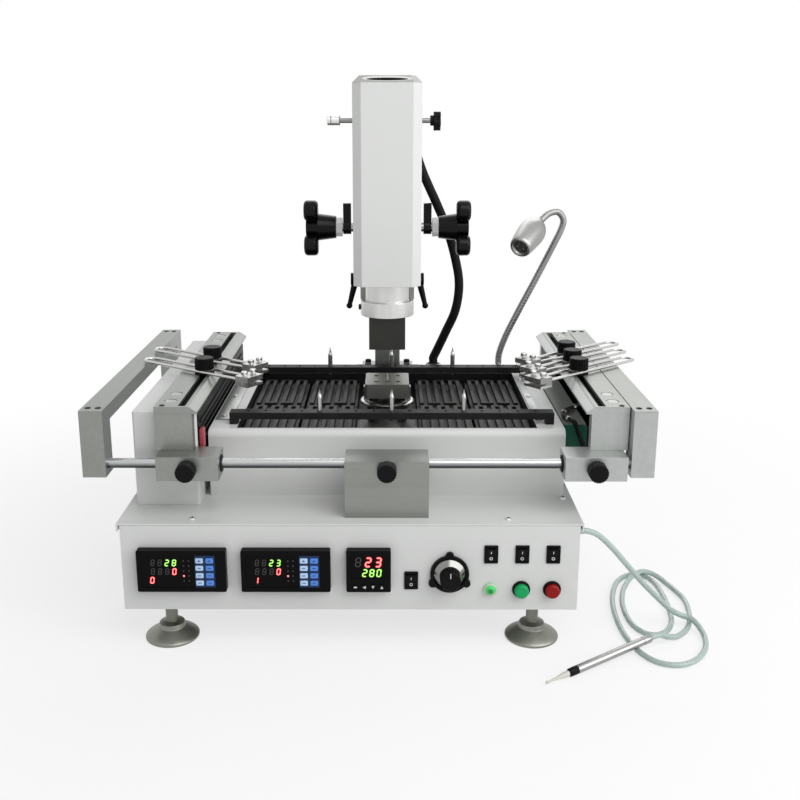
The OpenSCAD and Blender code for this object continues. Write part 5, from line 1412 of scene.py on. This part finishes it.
# Finish of each CAD node, and how far its edges are rounded
NODE_FINISHES = (
    ("paint", 0.0008, "cabinet cabinet_lid side_cover"),
    ("bed_paint", 0.0008, "preheat_housing"),
    ("aluminium_x", 0.0005, "centre_blocks"),
    ("aluminium_y", 0.0005, "end_frames jaw_left jaw_right"),
    ("aluminium_z", 0.0006, "column arm"),
    ("turned_aluminium", 0.0006, "head_collar"),
    ("rod", 0.0003, "guide_rods"),
    ("steel", 0.0002, "head_rail pinion_shaft pins_front pins_rear lower_air_tube"),
    ("satin", 0.0003, "head_cap"),
    ("stem", 0, "cross_screw"),
    ("cast_steel", 0.0004, "levelling_feet"),
    ("skirt", 0.0003, "airflow_skirt"),
    ("rail", 0.0004, "rail_front rail_rear blower_and_pump"),
    ("ceramic", 0.0008, "heater_tiles"),
    ("scorched", 0.0005, "hot_air_nozzle"),
    ("hood", 0.0005, "lower_nozzle"),
    ("fan", 0.0008, "cooling_fan"),
    ("black", 0.0002, "mains_inlet panel_bezels airflow_knob centre_knob knob_left knob_right clamp_levers"),
    ("black", 0.0002, "rocker_panel rocker_vacuum rocker_cooling rocker_light"),
    ("black", 0, "star_knob"),
    ("black_gloss", 0.0005, "pinion_handles"),
    ("bezel", 0.0008, "panel_meters"),
    ("start", 0.0004, "start_button"),
    ("stop", 0.0004, "stop_button"),
    ("pilot", 0.0002, "pilot_lamp"),
)
SOFT_HEAD_EDGE = 0.004
FLAT_ANGLE, EDGE_ANGLE = math.radians(0.5), math.radians(32)


class STATION_OT_finishes(bpy.types.Operator):
    """Gives every CAD node its finish and rounds its edges."""

    bl_idname = "station.finishes"
    bl_label = "Finishes"

    def execute(self, context):
        for key, edge, names in NODE_FINISHES:
            for name in names.split():
                self.dress(name, key, edge)
        self.dress("head_housing", "paint", SOFT_HEAD_EDGE, 4)
        for name in ("left_1", "left_2", "right_1", "right_2", "right_3"):
            self.dress(f"finger_{name}", "clip", 0.0005)
            self.dress(f"stud_{name}", "black", 0.0002)
        return {"FINISHED"}

    def dress(self, name, key, edge, segments=2):
        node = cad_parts[name]
        node.data.materials.clear()
        node.data.materials.append(finish(key))
        weld = node.modifiers.new("joined_corners", "WELD")
        weld.merge_threshold = JOIN
        merge = node.modifiers.new("whole_faces", "DECIMATE")
        merge.decimate_type = "DISSOLVE"
        merge.angle_limit = FLAT_ANGLE
        if edge:
            bevel = node.modifiers.new("soft_edges", "BEVEL")
            bevel.width = edge
            bevel.segments = segments
            bevel.limit_method = "ANGLE"
            bevel.angle_limit = EDGE_ANGLE
        flat = node.modifiers.new("even_faces", "WEIGHTED_NORMAL")
        flat.weight = 100
        flat.keep_sharp = True


class STATION_OT_stage(bpy.types.Operator):
    """Makes the floor, the lights, the white surroundings and the camera."""

    bl_idname = "station.stage"
    bl_label = "Stage"

    def execute(self, context):
        context.scene.view_settings.view_transform = "Standard"
        self.floor()
        self.world(context.scene)
        self.lamp("key_light", (1.0, -1.6, 2.2), (0, 0, 0.25), 2.0, 34)
        self.lamp("fill_light", (1.9, -0.9, 1.1), (0, 0, 0.3), 1.6, 20)
        self.lamp("rim_light", (0.3, 1.9, 1.9), (0, 0, 0.35), 1.8, 18)
        self.camera(context.scene)
        return {"FINISHED"}

    def floor(self):
        """Pale floor that fades to white away from the station."""
        bm = bmesh.new()
        bmesh.ops.create_grid(bm, x_segments=1, y_segments=1, size=30)
        mesh = bpy.data.meshes.new("floor")
        bm.to_mesh(mesh)
        bm.free()
        floor = bpy.data.objects.new("floor", mesh)
        bpy.context.scene.collection.objects.link(floor)
        pale = Finish("pale_floor")
        pale.surface({"Base Color": pale.shades((0.86, 0.86, 0.86), 0.02, pale.noise(60, 3)), "Roughness": 0.85})
        where = pale.node("ShaderNodeTexCoord", output=3)
        near, far, floor_lift = 0.42, 1.1, 0.7
        fade = pale.ramp(pale.distance(where), near, far)
        white = pale.node("ShaderNodeEmission", None, {"Color": (1, 1, 1), "Strength": 1.0})
        lift = floor_lift * pale.seen_directly()
        pale.show(pale.node("ShaderNodeMixShader", None, {0: lift + fade * (1 - lift), 1: pale.shaded, 2: white}))
        mesh.materials.append(pale.material)

    def world(self, scene):
        """White to the camera and in mirrors, softer as light."""
        scene.world = bpy.data.worlds.new("white_surroundings")
        room = Tree(scene.world)
        soft = 0.42
        strength = soft + (1 - soft) * room.seen_directly()
        back = room.node("ShaderNodeBackground", None, {"Color": (1, 1, 1), "Strength": strength})
        out = room.tree.nodes.new("ShaderNodeOutputWorld")
        room.feed(out.inputs[0], back)

    def lamp(self, name, place, target, size, power):
        light = bpy.data.lights.new(name, "AREA")
        light.energy = power
        light.size = size
        made = bpy.data.objects.new(name, light)
        made.location = place
        made.rotation_euler = (Vector(target) - Vector(place)).to_track_quat("-Z", "Y").to_euler()
        bpy.context.scene.collection.objects.link(made)

    def camera(self, scene):
        camera = bpy.data.cameras.new("camera")
        camera.sensor_width = 36
        camera.lens = 45.54
        camera.shift_x = 0.0172
        camera.shift_y = -0.03
        camera.clip_end = 100
        made = bpy.data.objects.new("camera", camera)
        pitch, yaw = 0.253, 0.003
        made.location = (0.00976, -1.2352, 0.5722)
        made.rotation_euler = (math.pi / 2 - pitch, 0, yaw)
        scene.collection.objects.link(made)
        scene.camera = made


class STATION_PT_panel(bpy.types.Panel):
    """Lists the steps that dress the station."""

    bl_label = "Rework station"
    bl_idname = "STATION_PT_panel"
    bl_space_type = "VIEW_3D"
    bl_region_type = "UI"
    bl_category = "Station"

    def draw(self, context):
        column = self.layout.column(align=True)
        for step in STEPS:
            column.operator(step.bl_idname)
        for group in (context.scene.station_sizes, context.scene.station_colours):
            box = self.layout.box()
            for key in group.__annotations__:
                box.prop(group, key)


STEPS = (
    STATION_OT_stage, STATION_OT_cords, STATION_OT_finishes, STATION_OT_meters, STATION_OT_switches,
    STATION_OT_fasteners, STATION_OT_table, STATION_OT_heaters, STATION_OT_head, STATION_OT_lamp, STATION_OT_feet,
)
CLASSES = (StationSizes, StationColours, *STEPS, STATION_PT_panel)


def register():
    for cls in CLASSES:
        bpy.utils.register_class(cls)
    bpy.types.Scene.station_sizes = PointerProperty(type=StationSizes)
    bpy.types.Scene.station_colours = PointerProperty(type=StationColours)


def unregister():
    del bpy.types.Scene.station_colours
    del bpy.types.Scene.station_sizes
    for cls in reversed(CLASSES):
        bpy.utils.unregister_class(cls)


def main():
    register()
    for step in STEPS:
        group, name = step.bl_idname.split(".")
        getattr(getattr(bpy.ops, group), name)()


if __name__ == "__main__":
    main()
